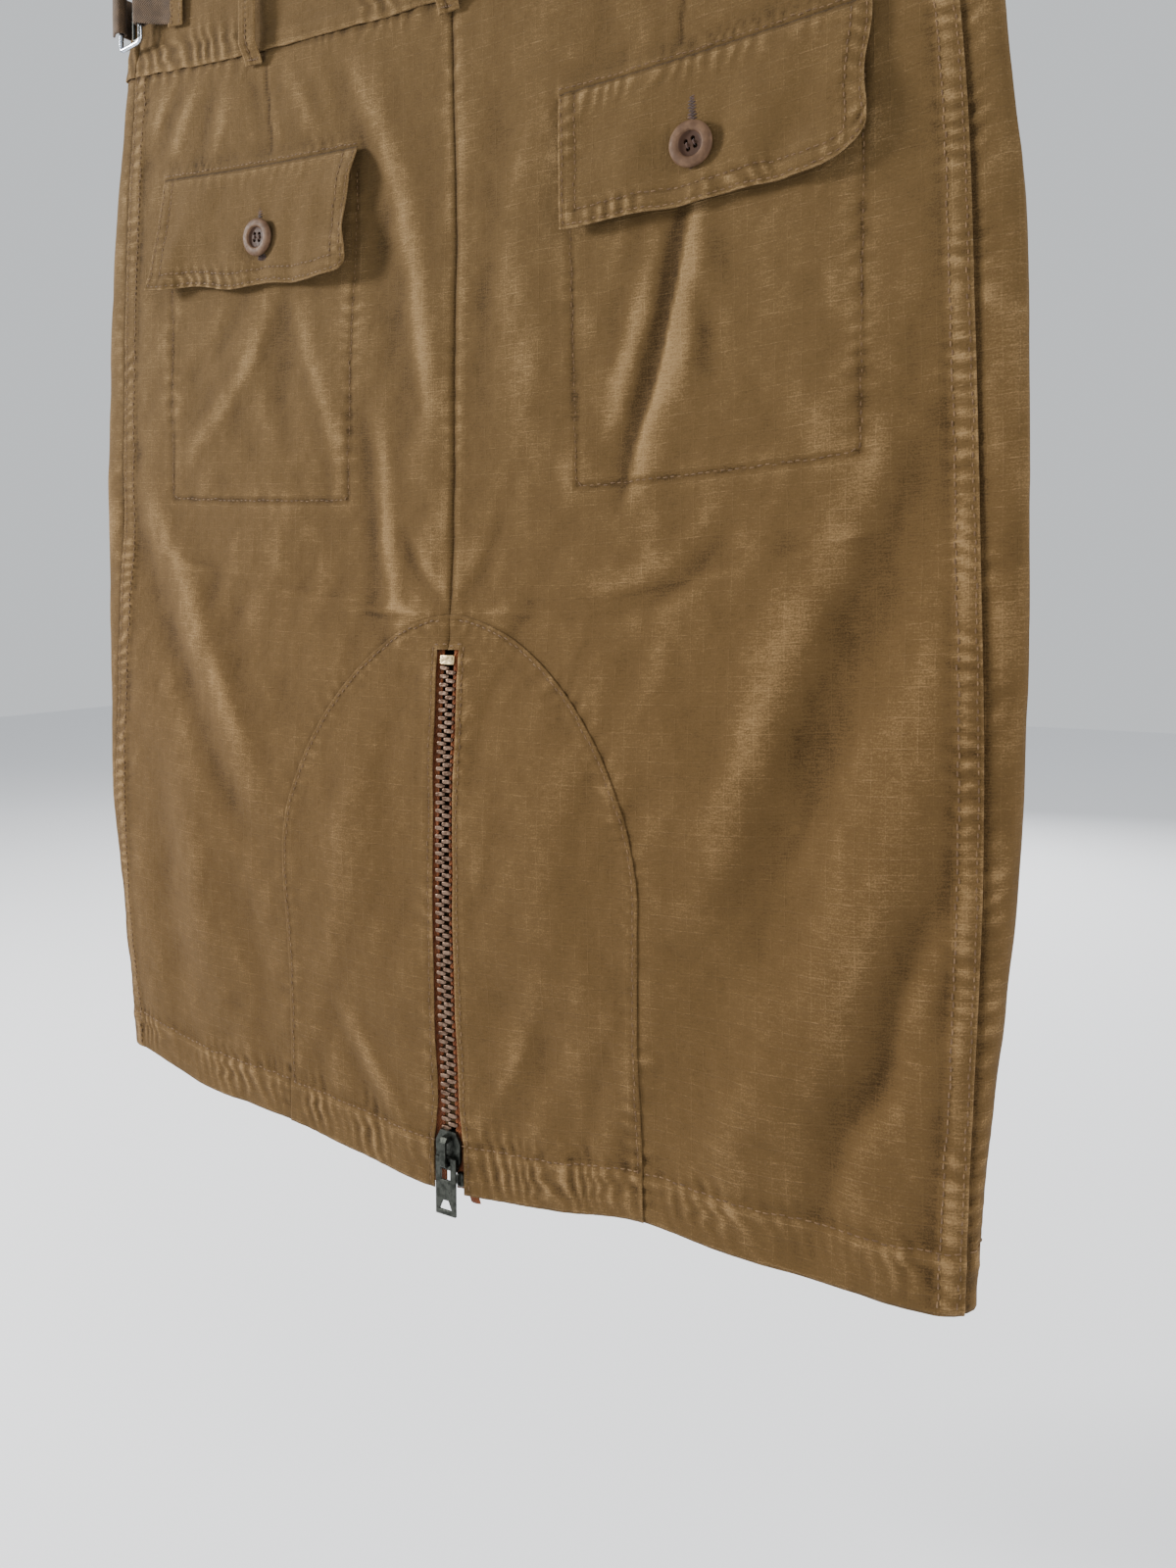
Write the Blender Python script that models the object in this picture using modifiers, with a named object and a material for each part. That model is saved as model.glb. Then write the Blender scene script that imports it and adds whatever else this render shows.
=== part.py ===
"""Knee-length cargo utility skirt: a hollow tube of cloth panels with back pockets and a zipped vent.

Lengths are in millimetres and become metres where a vertex is made. +Z is up, the wearer's front
faces -Y and the wearer's right is at -X. The origin is the middle of the waistband's top edge.
A place on the cloth is (girth, drop): the distance round the cloth from the centre back, positive
to the wearer's right, and the distance below the waist seam.
"""

import math

import bmesh
import bpy
import numpy as np
from mathutils import Matrix, Vector

MM = 0.001

# ---- driving dimensions -------------------------------------------------------------------------
BAND = 45.0  # waistband height
HEM = 514.0  # waist seam to hem
CLOTH = 1.2  # wall of the ripstop cotton, with its seams and hems averaged in
DOUBLE = 1.5  # wall of a folded and sewn piece: flap, loop, tab
SEAM = 0.3  # gap between pieces that are sewn together
LAYER = CLOTH + SEAM  # from one layer of cloth to the next, middle to middle
SIDE_RISE_WAIST = 15.0  # how much higher the waist is at the sides than at the centre
SIDE_RISE_HEM = 6.0
SECTION_POWER = 2.8  # roundness of the hanging section: 2 is an ellipse

# The tube's sections: drop, half the girth, depth of the back's and of the front's bow
SECTIONS = np.array([
    (-45, 426, 9.0, 17),
    (0, 440, 9.5, 17),
    (120, 470, 8.0, 18),
    (240, 477, 11.0, 20),
    (360, 473, 21.0, 20),
    (514, 436, 16.0, 20),
])
# How far behind the side fold each side seam runs: drop, inset
SEAM_INSETS = np.array([(-45, 13), (0, 14), (174, 20), (348, 16), (514, 6)])

# How much lower than its cut the hem hangs: girth, sag. It starts at SAG_FROM and grows to the hem
HEM_SAG = np.array([
    (-300, 0), (-245, -3), (-205, -10), (-150, -4), (-95, -3), (-50, 2), (-12, 6), (12, 6), (50, 3),
    (92, -2.5), (130, 1), (170, 5), (205, 8), (240, 3), (300, 0),
])
SAG_FROM = 330.0

# The largest folds: girth and drop of both ends, half width, height (a trough is negative)
FOLDS = (
    ((205, 215), (104, 480), 24, -7.0),
    ((176, 235), (112, 392), 15, 4.0),
    ((205, 380), (162, 500), 11, -4.5),
    ((-200, 215), (-100, 372), 13, 4.0),
    ((-212, 240), (-128, 372), 15, -3.5),
    ((-34, 60), (-8, 205), 11, 3.0),
    ((-62, 440), (-24, 505), 10, -3.0),
    ((420, 200), (330, 470), 26, -5.0),
    ((-420, 230), (-350, 480), 24, -4.5),
)

DOME_TOP = 271.0
DOME_WIDEST = 385.0
DOME_HALF_WIDTH = 92.5
DOME_POWER = 1.75  # a little more pointed than an ellipse
ARCH_GAP = 0.22  # half the gap along the gusset's seam, whose edges lean together
SIDE_GAP = 0.28  # half the gap along a side seam, where the cloth turns
ZIP_TOP = 286.0
ZIP_HALF_OPENING = 5.3
TAPE_INNER = 3.7
TAPE_OUTER = 15.0
CHAIN_HALF_WIDTH = 3.3
SLIDER_DROP = 497.0  # the slider's middle
SLIDER_HEIGHT = 17.0
SLIDER_WIDTH = 12.5
PULL_AXIS_DROP = 500.0
PULL_LENGTH = 25.0
PULL_WIDTH = 10.5

FLAP_INNER = 54.0
FLAP_WIDTH = 129.0
FLAP_TOP = 57.0
FLAP_HEIGHT = 57.0
FLAP_CHAMFER = 22.0
FLAP_CHAMFER_RISE = 14.0
BUTTON_GIRTH = 114.0
BUTTON_DROP = 92.0
BAG_INNER = 58.0
BAG_OUTER = 177.0
BAG_TOP = 62.0
BAG_BOTTOM = 219.0

LOOP_WIDTH = 11.0
LOOP_FROM_BACK = 116.5
LOOP_FROM_FRONT = 95.0
LOOP_END = 9.0  # how far below the waist seam a loop is sewn
LOOP_STAND = 5.0  # room between the band and a loop, for a belt
STRAP_HEIGHT = 22.0
STRAP_DROP = -26.0
RING_GIRTH = 203.0
RING_HALF_WIDTH = 9.0
RING_HALF_HEIGHT = 15.0
RING_WIRE = 1.25
RING_STAND = 6.6
# How the adjuster's strap comes round from the front: girth, distance out from the band
STRAP_PATH = ((275, 3.2), (258, 3.4), (240, 4.1), (228, 4.6), (219, 4.8))
FLY_LAP = 34.0  # how far the front band laps over at the waist button

COLOURS = {
    # material: base colour, roughness, metallic
    "ripstop": ((0.27, 0.165, 0.075, 1), 0.85, 0.0),
    "twill": ((0.13, 0.085, 0.042, 1), 0.9, 0.0),
    "zip_tape": ((0.31, 0.1, 0.035, 1), 0.85, 0.0),
    "zip_metal": ((0.3, 0.2, 0.13, 1), 0.4, 1.0),
    "gold_metal": ((0.7, 0.55, 0.3, 1), 0.35, 1.0),
    "gun_metal": ((0.06, 0.065, 0.055, 1), 0.35, 1.0),
    "button": ((0.36, 0.21, 0.14, 1), 0.4, 0.0),
    "steel": ((0.62, 0.64, 0.68, 1), 0.25, 1.0),
}


# ---- the form: where the cloth hangs ------------------------------------------------------------
def smooth(table, column, at):
    """A smooth curve through one column of a table whose first column rises."""
    xs, ys = table[:, 0], table[:, column]
    slopes = np.gradient(ys, xs)
    i = int(np.clip(np.searchsorted(xs, at) - 1, 0, len(xs) - 2))
    span = xs[i + 1] - xs[i]
    t = np.clip((at - xs[i]) / span, 0, 1)
    start, end = (1 + 2 * t) * (1 - t) ** 2, t * t * (3 - 2 * t)
    leave, arrive = t * (1 - t) ** 2, t * t * (t - 1)
    return start * ys[i] + end * ys[i + 1] + span * (leave * slopes[i] + arrive * slopes[i + 1])


def side_girth(drop):
    """Girth of the side seam."""
    return smooth(SECTIONS, 1, drop) / 2 - smooth(SEAM_INSETS, 1, drop)


SECTION_CACHE = {}


def section(drop):
    """Half of the level section, from centre back to centre front: x, y, girth and half width."""
    key = round(drop, 2)
    if key in SECTION_CACHE:
        return SECTION_CACHE[key]
    half, back, front = (smooth(SECTIONS, column, drop) for column in (1, 2, 3))
    turn = np.linspace(0, math.pi, 241)
    across = np.sin(turn) ** (2 / SECTION_POWER)
    bow = np.where(turn < math.pi / 2, back, front)
    y = bow * np.sign(np.cos(turn)) * np.abs(np.cos(turn)) ** (2 / SECTION_POWER)
    width = half * 0.49
    for _ in range(6):
        girth = np.concatenate([[0], np.cumsum(np.hypot(np.diff(width * across), np.diff(y)))])
        width *= half / girth[-1]
    SECTION_CACHE[key] = width * across, y, girth, width
    return SECTION_CACHE[key]


def fold_height(girth, drop):
    """How far the folds push the cloth out at a place."""
    total = 0.0
    for (g0, d0), (g1, d1), half_width, height in FOLDS:
        along = Vector((g1 - g0, d1 - d0))
        to = Vector((girth - g0, drop - d0))
        share = to.dot(along) / along.length_squared
        if not -0.2 < share < 1.2:
            continue
        across = abs(to.cross(along)) / along.length
        fade = math.sin(math.pi * (share + 0.2) / 1.4) ** 1.5
        total += height * fade * math.exp(-((across / half_width) ** 2))
    calm = min(1.0, max(0.0, drop / 30))  # the waist seam holds the folds down
    return total * calm


def skin(girth, drop, out=0.0):
    """The place on the cloth's middle surface, moved out by a distance, in millimetres."""
    side = 1 if girth >= 0 else -1
    push = out + fold_height(girth, drop)
    low = max(0.0, (drop - SAG_FROM) / (HEM - SAG_FROM))
    drop = float(drop + low ** 2 * smooth(HEM_SAG, 1, float(np.clip(girth, -300, 300))))
    x, y, lengths, width = section(drop)
    g = min(abs(girth), lengths[-1])
    px, py = np.interp(g, lengths, x), np.interp(g, lengths, y)
    step = 1.5
    before, after = max(g - step, 0), min(g + step, lengths[-1])
    tx = np.interp(after, lengths, x) - np.interp(before, lengths, x)
    ty = np.interp(after, lengths, y) - np.interp(before, lengths, y)
    norm = math.hypot(tx, ty)
    nx, ny = -ty / norm, tx / norm
    share = drop / HEM
    rise = (SIDE_RISE_WAIST * (1 - share) + SIDE_RISE_HEM * share) * (px / width) ** 2
    return Vector((-side * (px + nx * push), py + ny * push, -BAND - drop + rise))


def dome_edge(drop, grow):
    """Girth of the gusset's seam, grown by half the gap: a slightly pointed arch, then straight."""
    top = DOME_TOP - grow
    width = DOME_HALF_WIDTH + grow
    if drop <= top:
        return 0.0
    if drop >= DOME_WIDEST:
        return width - 1.5 * math.sin(math.pi * (drop - DOME_WIDEST) / (HEM - DOME_WIDEST))
    rise = (DOME_WIDEST - drop) / (DOME_WIDEST - top)
    return width * (1 - rise ** DOME_POWER) ** (1 / DOME_POWER)


# ---- making solids ------------------------------------------------------------------------------
def material(name):
    made = bpy.data.materials.get(name)
    if made:
        return made
    colour, roughness, metallic = COLOURS[name]
    made = bpy.data.materials.new(name)
    made.use_nodes = True
    shader = made.node_tree.nodes["Principled BSDF"]
    shader.inputs["Base Color"].default_value = colour
    shader.inputs["Roughness"].default_value = roughness
    shader.inputs["Metallic"].default_value = metallic
    made.diffuse_color = colour
    return made


def add_object(name, bm, finish, collection="cargo_skirt"):
    mesh = bpy.data.meshes.new(name)
    bm.to_mesh(mesh)
    bm.free()
    made = bpy.data.objects.new(name, mesh)
    bpy.data.collections[collection].objects.link(made)
    mesh.materials.append(material(finish))
    return made


def add_cloth(name, columns, drops, place, finish="ripstop", wall=CLOTH):
    """A grid whose vertices go to place(share across, row's drop), thickened to a wall."""
    bm = bmesh.new()
    rows = len(drops) - 1
    bmesh.ops.create_grid(bm, x_segments=columns, y_segments=rows, size=0.5)
    for vert in bm.verts:
        row = round((vert.co.y + 0.5) * rows)
        vert.co = place(vert.co.x + 0.5, drops[row]) * MM
    made = add_object(name, bm, finish)
    made.data.shade_smooth()
    thicken = made.modifiers.new("wall", "SOLIDIFY")
    thicken.thickness = wall * MM
    thicken.offset = 0
    thicken.use_even_offset = True
    return made


def box(bm, low, high):
    """A box between two corners in millimetres."""
    size = Vector(high) - Vector(low)
    middle = (Vector(high) + Vector(low)) / 2
    where = Matrix.Translation(middle * MM) @ Matrix.Diagonal((size * MM).to_4d())
    bmesh.ops.create_cube(bm, size=1, matrix=where)


def cutter_object(name, bm):
    made = add_object(name, bm, "steel", "cutters")
    made.hide_render = True
    made.display_type = "WIRE"
    return made


def boolean(target, other, operation):
    step = target.modifiers.new(operation.lower(), "BOOLEAN")
    step.operation = operation
    step.object = other
    step.solver = "EXACT"


def even_rows(low, high, count):
    return list(np.linspace(low, high, count + 1))


# ---- skirt panels -------------------------------------------------------------------------------
# Panels that meet share their rows, so that their edges bend at the same places
ARCH_ROWS = [DOME_TOP + (DOME_WIDEST - DOME_TOP) * (i / 9) ** 1.7 for i in range(1, 10)]
VENT_ROWS = sorted([DOME_TOP + 1.0, ZIP_TOP, ZIP_TOP + SEAM] + ARCH_ROWS) + even_rows(DOME_WIDEST, HEM, 5)[1:]
PANEL_ROWS = even_rows(SEAM / 2, DOME_TOP - 1, 9) + VENT_ROWS


def add_back(name, side):
    def place(across, drop):
        inner = max(dome_edge(drop, ARCH_GAP), SEAM / 2)
        outer = side_girth(drop) - SIDE_GAP
        return skin(side * (inner + (outer - inner) * (1 - (1 - across) ** 1.3)), drop)

    return add_cloth(name, 9, PANEL_ROWS, place)


def add_dome(name, side):
    def place(across, drop):
        inner = SEAM / 2 if drop <= ZIP_TOP else ZIP_HALF_OPENING
        outer = dome_edge(drop, -ARCH_GAP)
        return skin(side * (inner + (outer - inner) * across), drop)

    return add_cloth(name, 5, VENT_ROWS, place)


def add_front(name, side):
    def place(across, drop):
        inner = side_girth(drop) + SIDE_GAP
        outer = smooth(SECTIONS, 1, drop) - SEAM / 2
        return skin(side * (inner + (outer - inner) * across ** 1.5), drop)

    return add_cloth(name, 9, PANEL_ROWS, place)


# ---- waistband ----------------------------------------------------------------------------------
BAND_ROWS = even_rows(-BAND, -SEAM / 2, 2)


def add_band_back():
    def place(across, drop):
        reach = 2 * across - 1
        bend = math.copysign(1 - (1 - abs(reach)) ** 1.25, reach)
        return skin(bend * (side_girth(drop) - SEAM / 2), drop)

    return add_cloth("waistband_back", 24, BAND_ROWS, place)


def add_band_front(name, side, lap):
    """A front half of the band. One half goes on past the centre, over the other, to the button."""

    def place(across, drop):
        inner = side_girth(drop) + SEAM / 2
        front = smooth(SECTIONS, 1, drop)
        outer = front + lap - SEAM / 2
        girth = inner + (outer - inner) * across ** 1.25
        over = 0.0
        if lap > 0:
            over = LAYER * np.clip((girth - front + 24) / 18, 0, 1)
        if girth <= front:
            return skin(side * girth, drop, over)
        return skin(-side * (2 * front - girth), drop, over)

    return add_cloth(name, 18, BAND_ROWS, place)


# ---- pockets, buttons and loops -----------------------------------------------------------------
def flap_lift(across, down, side):
    """How far a flap stands off the panel: sewn along its top, loose at its bottom and sides."""
    loose = 1.4 if side < 0 else 1.0
    return 0.5 * down + loose * 2.2 * down * abs(2 * across - 1) ** 2


def flap_out(across, down, side):
    return CLOTH / 2 + SEAM + DOUBLE / 2 + 0.1 + flap_lift(across, down, side)


def add_flap(name, side):
    """Both flaps have their cut-off corner on the same hand, towards the wearer's right."""
    first = FLAP_INNER if side > 0 else -FLAP_INNER - FLAP_WIDTH

    def place(across, down):
        from_cut = FLAP_WIDTH * (1 - across)
        cut = FLAP_CHAMFER_RISE * max(0.0, 1 - from_cut / FLAP_CHAMFER)
        drop = FLAP_TOP + down * (FLAP_HEIGHT - cut)
        return skin(first + FLAP_WIDTH * across, drop, flap_out(across, down, side))

    return add_cloth(name, 12, even_rows(0, 1, 5), place, wall=DOUBLE)


def add_bag(name, side):
    """A pocket bag on the inside of its panel, caught by the rows of stitching."""

    def place(across, drop):
        return skin(side * (BAG_INNER + (BAG_OUTER - BAG_INNER) * across), drop, -LAYER - 0.4)

    return add_cloth(name, 7, even_rows(BAG_TOP, BAG_BOTTOM, 7), place, wall=1.0)


def add_button(name, girth, drop, out):
    """A four-hole button: a turned disc with a raised rim and a well, facing out from the cloth."""
    profile = ((0, 0), (7.4, 0), (8.7, 0.7), (9.0, 1.6), (8.4, 2.9), (7.4, 3.3), (6.0, 3.2),
               (4.9, 2.7), (4.4, 2.0), (0, 1.9))
    bm = bmesh.new()
    verts = [bm.verts.new((radius * MM, 0, height * MM)) for radius, height in profile]
    for start, end in zip(verts, verts[1:]):
        bm.edges.new((start, end))
    made = add_object(name, bm, "button")
    turn = made.modifiers.new("turn", "SCREW")
    turn.steps = turn.render_steps = 20
    turn.use_merge_vertices = True
    turn.merge_threshold = 0.00005
    turn.use_normal_calculate = True
    holes = bmesh.new()
    for x in (-1.5, 1.5):
        for y in (-1.5, 1.5):
            bmesh.ops.create_cone(holes, cap_ends=True, segments=8, radius1=0.9 * MM,
                                  radius2=0.9 * MM, depth=8 * MM,
                                  matrix=Matrix.Translation((x * MM, y * MM, 0)))
    cutter = cutter_object(name + "_holes", holes)
    boolean(made, cutter, "DIFFERENCE")
    across = skin(girth + 8, drop, out) - skin(girth - 8, drop, out)
    down = skin(girth, drop + 8, out) - skin(girth, drop - 8, out)
    facing = down.cross(across)
    where = Matrix.Translation(skin(girth, drop, out) * MM)
    made.matrix_world = where @ facing.to_track_quat("Z", "Y").to_matrix().to_4x4()
    cutter.matrix_world = made.matrix_world
    return made


def add_loop(name, side, from_back=None, from_front=None):
    """A belt loop: sewn over the band's top edge and below the waist seam, standing off between."""
    rows = even_rows(0, 1, 10)
    sewn = CLOTH / 2 + SEAM + DOUBLE / 2

    def place(across, down):
        drop = -BAND + 1.5 + (BAND + LOOP_END - 1.5) * down
        stand = np.clip(min(down, 1 - down) / 0.2, 0, 1)
        bow = LOOP_STAND * stand * stand * (3 - 2 * stand)
        middle = from_back if from_front is None else smooth(SECTIONS, 1, drop) - from_front
        return skin(side * middle + LOOP_WIDTH * (across - 0.5), drop, sewn + bow)

    return add_cloth(name, 2, rows, place, wall=DOUBLE)


# ---- side adjusters -----------------------------------------------------------------------------
def ring_frame(side):
    """The ring's middle, its direction along the band and its outward direction."""
    middle = skin(side * RING_GIRTH, STRAP_DROP, RING_STAND)
    along = skin(side * (RING_GIRTH + 6), STRAP_DROP) - skin(side * (RING_GIRTH - 6), STRAP_DROP)
    along.z = 0
    along.normalize()
    outward = Vector((along.y, -along.x, 0)) * side
    return middle, along, outward


def add_ring(name, side):
    """A rectangular ring of round wire."""
    middle, along, outward = ring_frame(side)
    curve = bpy.data.curves.new(name, "CURVE")
    curve.dimensions = "3D"
    curve.bevel_depth = RING_WIRE * MM
    curve.bevel_resolution = 2
    spline = curve.splines.new("POLY")
    corner = 1.5
    outline = []
    for turn in range(0, 360, 30):
        angle = math.radians(turn + 15)
        x = math.copysign(RING_HALF_WIDTH - corner, math.cos(angle)) + corner * math.cos(angle)
        z = math.copysign(RING_HALF_HEIGHT - corner, math.sin(angle)) + corner * math.sin(angle)
        outline.append(middle + along * x + Vector((0, 0, z)))
    spline.points.add(len(outline) - 1)
    for point, place in zip(spline.points, outline):
        point.co = (place * MM).to_4d()
    spline.use_cyclic_u = True
    made = bpy.data.objects.new(name, curve)
    bpy.data.collections["cargo_skirt"].objects.link(made)
    curve.materials.append(material("steel"))
    return made


def rounded_path(points, per_span):
    """A smooth curve through points in plan."""
    ends = [2 * points[0] - points[1]] + points + [2 * points[-1] - points[-2]]
    path = []
    for a, b, c, d in zip(ends, ends[1:], ends[2:], ends[3:]):
        for i in range(per_span):
            t = i / per_span
            path.append(0.5 * (2 * b + (c - a) * t + (2 * a - 5 * b + 4 * c - d) * t * t
                               + (3 * b - a - 3 * c + d) * t ** 3))
    return path + [points[-1]]


def add_strip(name, plan, finish, wall):
    """An upright strip of the strap's height along a path in plan."""
    path = rounded_path(plan, 3)

    def place(across, row):
        low = path[round(across * (len(path) - 1))]
        return low + Vector((0, 0, STRAP_HEIGHT * (0.5 - row)))

    return add_cloth(name, len(path) - 1, [0.0, 1.0], place, finish, wall)


def wrap(bar, along, outward, towards):
    """Points of a strip that folds round a bar, from its outer side to the side of the cloth."""
    radius = RING_WIRE + 0.45 + 0.7
    turn = (outward, outward * 0.7 + along * 0.7 * towards, along * towards,
            along * 0.7 * towards - outward * 0.7, -outward)
    return [bar + step * radius for step in turn]


def add_adjuster(hand, side):
    """A tab sewn on the back of the band, a ring, and a strap that comes round from the front."""
    middle, along, outward = ring_frame(side)
    add_ring("adjuster_ring_" + hand, side)
    near_bar = middle - along * RING_HALF_WIDTH
    far_bar = middle + along * RING_HALF_WIDTH
    band_girth = RING_GIRTH - RING_HALF_WIDTH
    tab_end = [skin(side * (band_girth - back), STRAP_DROP, out) for back, out in ((24, 2.0), (14, 4.0))]
    tab = tab_end + wrap(near_bar, along, outward, 1) + [near_bar - along * 5 - outward * 2.1]
    add_strip("adjuster_tab_" + hand, tab, "twill", 1.3)
    front = [skin(side * girth, STRAP_DROP, out) for girth, out in STRAP_PATH]
    front.append(far_bar + along * 2.2 - outward * 3.4)
    tail = [far_bar + along * 2.5 + outward * 2.3, far_bar + along * 6 + outward * 0.8]
    strap = front + wrap(far_bar, along, outward, -1)[::-1] + tail
    add_strip("adjuster_strap_" + hand, strap, "twill", 1.3)


# ---- vent zip -----------------------------------------------------------------------------------
TAPE_OUT = -(CLOTH / 2 + SEAM + 0.5)


def add_tape(name, side):
    def place(across, drop):
        return skin(side * (TAPE_INNER + (TAPE_OUTER - TAPE_INNER) * across), drop, TAPE_OUT - 0.1)

    return add_cloth(name, 2, even_rows(ZIP_TOP - 6, HEM - 1, 12), place, "zip_tape", 0.9)


def add_chain():
    """The closed row of teeth as one plain strip."""
    top = ZIP_TOP + 6.6
    bottom = SLIDER_DROP - SLIDER_HEIGHT / 2 - SEAM

    def place(across, drop):
        return skin(CHAIN_HALF_WIDTH * (2 * across - 1), drop, TAPE_OUT + 0.3)

    return add_cloth("zip_chain", 2, even_rows(top, bottom, 14), place, "zip_metal", 2.2)


def add_stop():
    """The stop that closes the head of the chain."""
    place = skin(0, ZIP_TOP + 3.9, TAPE_OUT + 0.4)
    bm = bmesh.new()
    box(bm, (-3.3, -1.2, -2.1), (3.3, 1.2, 2.1))
    made = add_object("zip_stop", bm, "gold_metal")
    made.location = place * MM
    soften = made.modifiers.new("edges", "BEVEL")
    soften.width = 0.4 * MM
    soften.segments = 2
    return made


FACE = 0.95  # the slider's front plate starts this far out from the cloth's middle surface
PLATE = 1.6
BRIDGE_ROOM = 2.8  # free depth under the bridge
BRIDGE = 1.3
BRIDGE_WIDTH = 2.9
PIVOT_OUT = FACE + PLATE + BRIDGE_ROOM / 2
PULL_WALL = 1.2
PULL_BAR = 1.6


def slider_origin():
    return skin(0, SLIDER_DROP)


def pull_axis():
    """The middle of the pull's bar, on its hinge axis."""
    low = slider_origin()
    return Vector((0, low.y + PIVOT_OUT, low.z - (PULL_AXIS_DROP - SLIDER_DROP)))


def prism(outline, low, high, axis):
    """A mesh of an outline in millimetres, drawn in the two other axes, between two depths."""
    bm = bmesh.new()
    rings = []
    for depth in (low, high):
        ring = []
        for point in outline:
            place = list(point)
            place.insert(axis, depth)
            ring.append(bm.verts.new(Vector(place) * MM))
        rings.append(ring)
        bm.faces.new(ring)
    for i in range(len(outline)):
        j = (i + 1) % len(outline)
        bm.faces.new((rings[0][i], rings[0][j], rings[1][j], rings[1][i]))
    bmesh.ops.recalc_face_normals(bm, faces=bm.faces)
    return bm


def add_slider():
    """Two plates on a core, with the bridge that holds the pull."""
    half = SLIDER_HEIGHT / 2
    front = FACE + PLATE
    roof = front + BRIDGE_ROOM
    crown = roof + BRIDGE
    low, high = -half * 0.72, half * 0.78
    shield = ((-0.62, 1.0), (0.62, 1.0), (1.0, 0.45), (1.0, -0.5), (0.72, -1.0), (-0.72, -1.0),
              (-1.0, -0.5), (-1.0, 0.45))
    bridge = ((front - 0.2, low), (crown - 0.8, low), (crown, low + 0.9), (crown, high - 1.8),
              (crown - 1.4, high), (front - 0.2, high), (front - 0.2, high - 2.4),
              (roof, high - 2.4), (roof, low + 1.3), (front - 0.2, low + 1.3))
    plate = [(x * SLIDER_WIDTH / 2, z * half) for x, z in shield]
    made = add_object("zip_slider", prism(plate, FACE, front, 1), "gun_metal")
    made.location = slider_origin() * MM
    core = bmesh.new()
    box(core, (-3.0, -2.9, -half * 0.75), (3.0, FACE + 0.2, half * 0.75))
    inner_plate = prism([(x * 0.88, z * 0.88) for x, z in plate], -3.7, -2.6, 1)
    arch = prism(bridge, -BRIDGE_WIDTH / 2, BRIDGE_WIDTH / 2, 0)
    for label, bm in (("core", core), ("inner_plate", inner_plate), ("bridge", arch)):
        piece = cutter_object("slider_" + label, bm)
        piece.location = made.location
        boolean(made, piece, "UNION")
    return made


def add_pull():
    """The pull tab: a plate with a window round the bridge and a tapered hole, on its hinge axis."""
    half = PULL_WIDTH / 2
    low = PULL_BAR / 2 - PULL_LENGTH
    bm = bmesh.new()
    box(bm, (-half, -PULL_WALL / 2, low), (half, PULL_WALL / 2, PULL_BAR / 2))
    made = add_object("zip_pull", bm, "gun_metal")
    made.location = pull_axis() * MM
    window = bmesh.new()
    box(window, (-2.4, -3, -PULL_BAR / 2 - 8.2), (2.4, 3, -PULL_BAR / 2))
    holes = [cutter_object("pull_window", window)]
    taper = bmesh.new()
    box(taper, (-3.3, -3, low + 2.2), (3.3, 3, low + 6.4))
    for vert in taper.verts:
        if vert.co.z > (low + 5) * MM:
            vert.co.x *= 0.45
    holes.append(cutter_object("pull_hole", taper))
    for hole in holes:
        hole.location = made.location
        boolean(made, hole, "DIFFERENCE")
    soften = made.modifiers.new("edges", "BEVEL")
    soften.width = 0.25 * MM
    soften.segments = 1
    soften.limit_method = "ANGLE"
    return made


# ---- the skirt ----------------------------------------------------------------------------------
def clear_scene():
    for old in list(bpy.data.objects):
        bpy.data.objects.remove(old, do_unlink=True)
    for name in ("cargo_skirt", "cutters"):
        made = bpy.data.collections.new(name)
        bpy.context.scene.collection.children.link(made)


def build():
    clear_scene()
    for hand, side in (("left", -1), ("right", 1)):
        add_back("back_" + hand, side)
        add_dome("dome_" + hand, side)
        add_front("front_" + hand, side)
        add_flap("flap_" + hand, side)
        add_bag("pocket_" + hand, side)
        across = (BUTTON_GIRTH - FLAP_INNER) / FLAP_WIDTH
        if side < 0:
            across = 1 - across
        down = (BUTTON_DROP - FLAP_TOP) / FLAP_HEIGHT
        out = flap_out(across, down, side) + DOUBLE / 2 + 0.45
        add_button("button_" + hand, side * BUTTON_GIRTH, BUTTON_DROP, out)
        add_tape("zip_tape_" + hand, side)
        add_loop("loop_back_" + hand, side, from_back=LOOP_FROM_BACK)
        add_loop("loop_front_" + hand, side, from_front=LOOP_FROM_FRONT)
        add_adjuster(hand, side)
    add_loop("loop_centre_back", 1, from_back=0.0)
    add_band_back()
    add_band_front("waistband_front_left", -1, FLY_LAP)
    add_band_front("waistband_front_right", 1, 0.0)
    front = smooth(SECTIONS, 1, -BAND / 2)
    add_button("button_waist", front - 20, -BAND / 2, LAYER + CLOTH / 2 + 0.45)
    add_chain()
    add_stop()
    add_slider()
    add_pull()


build()
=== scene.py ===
import math

import bmesh
import bpy
import numpy as np
from mathutils import Matrix, Vector


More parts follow.
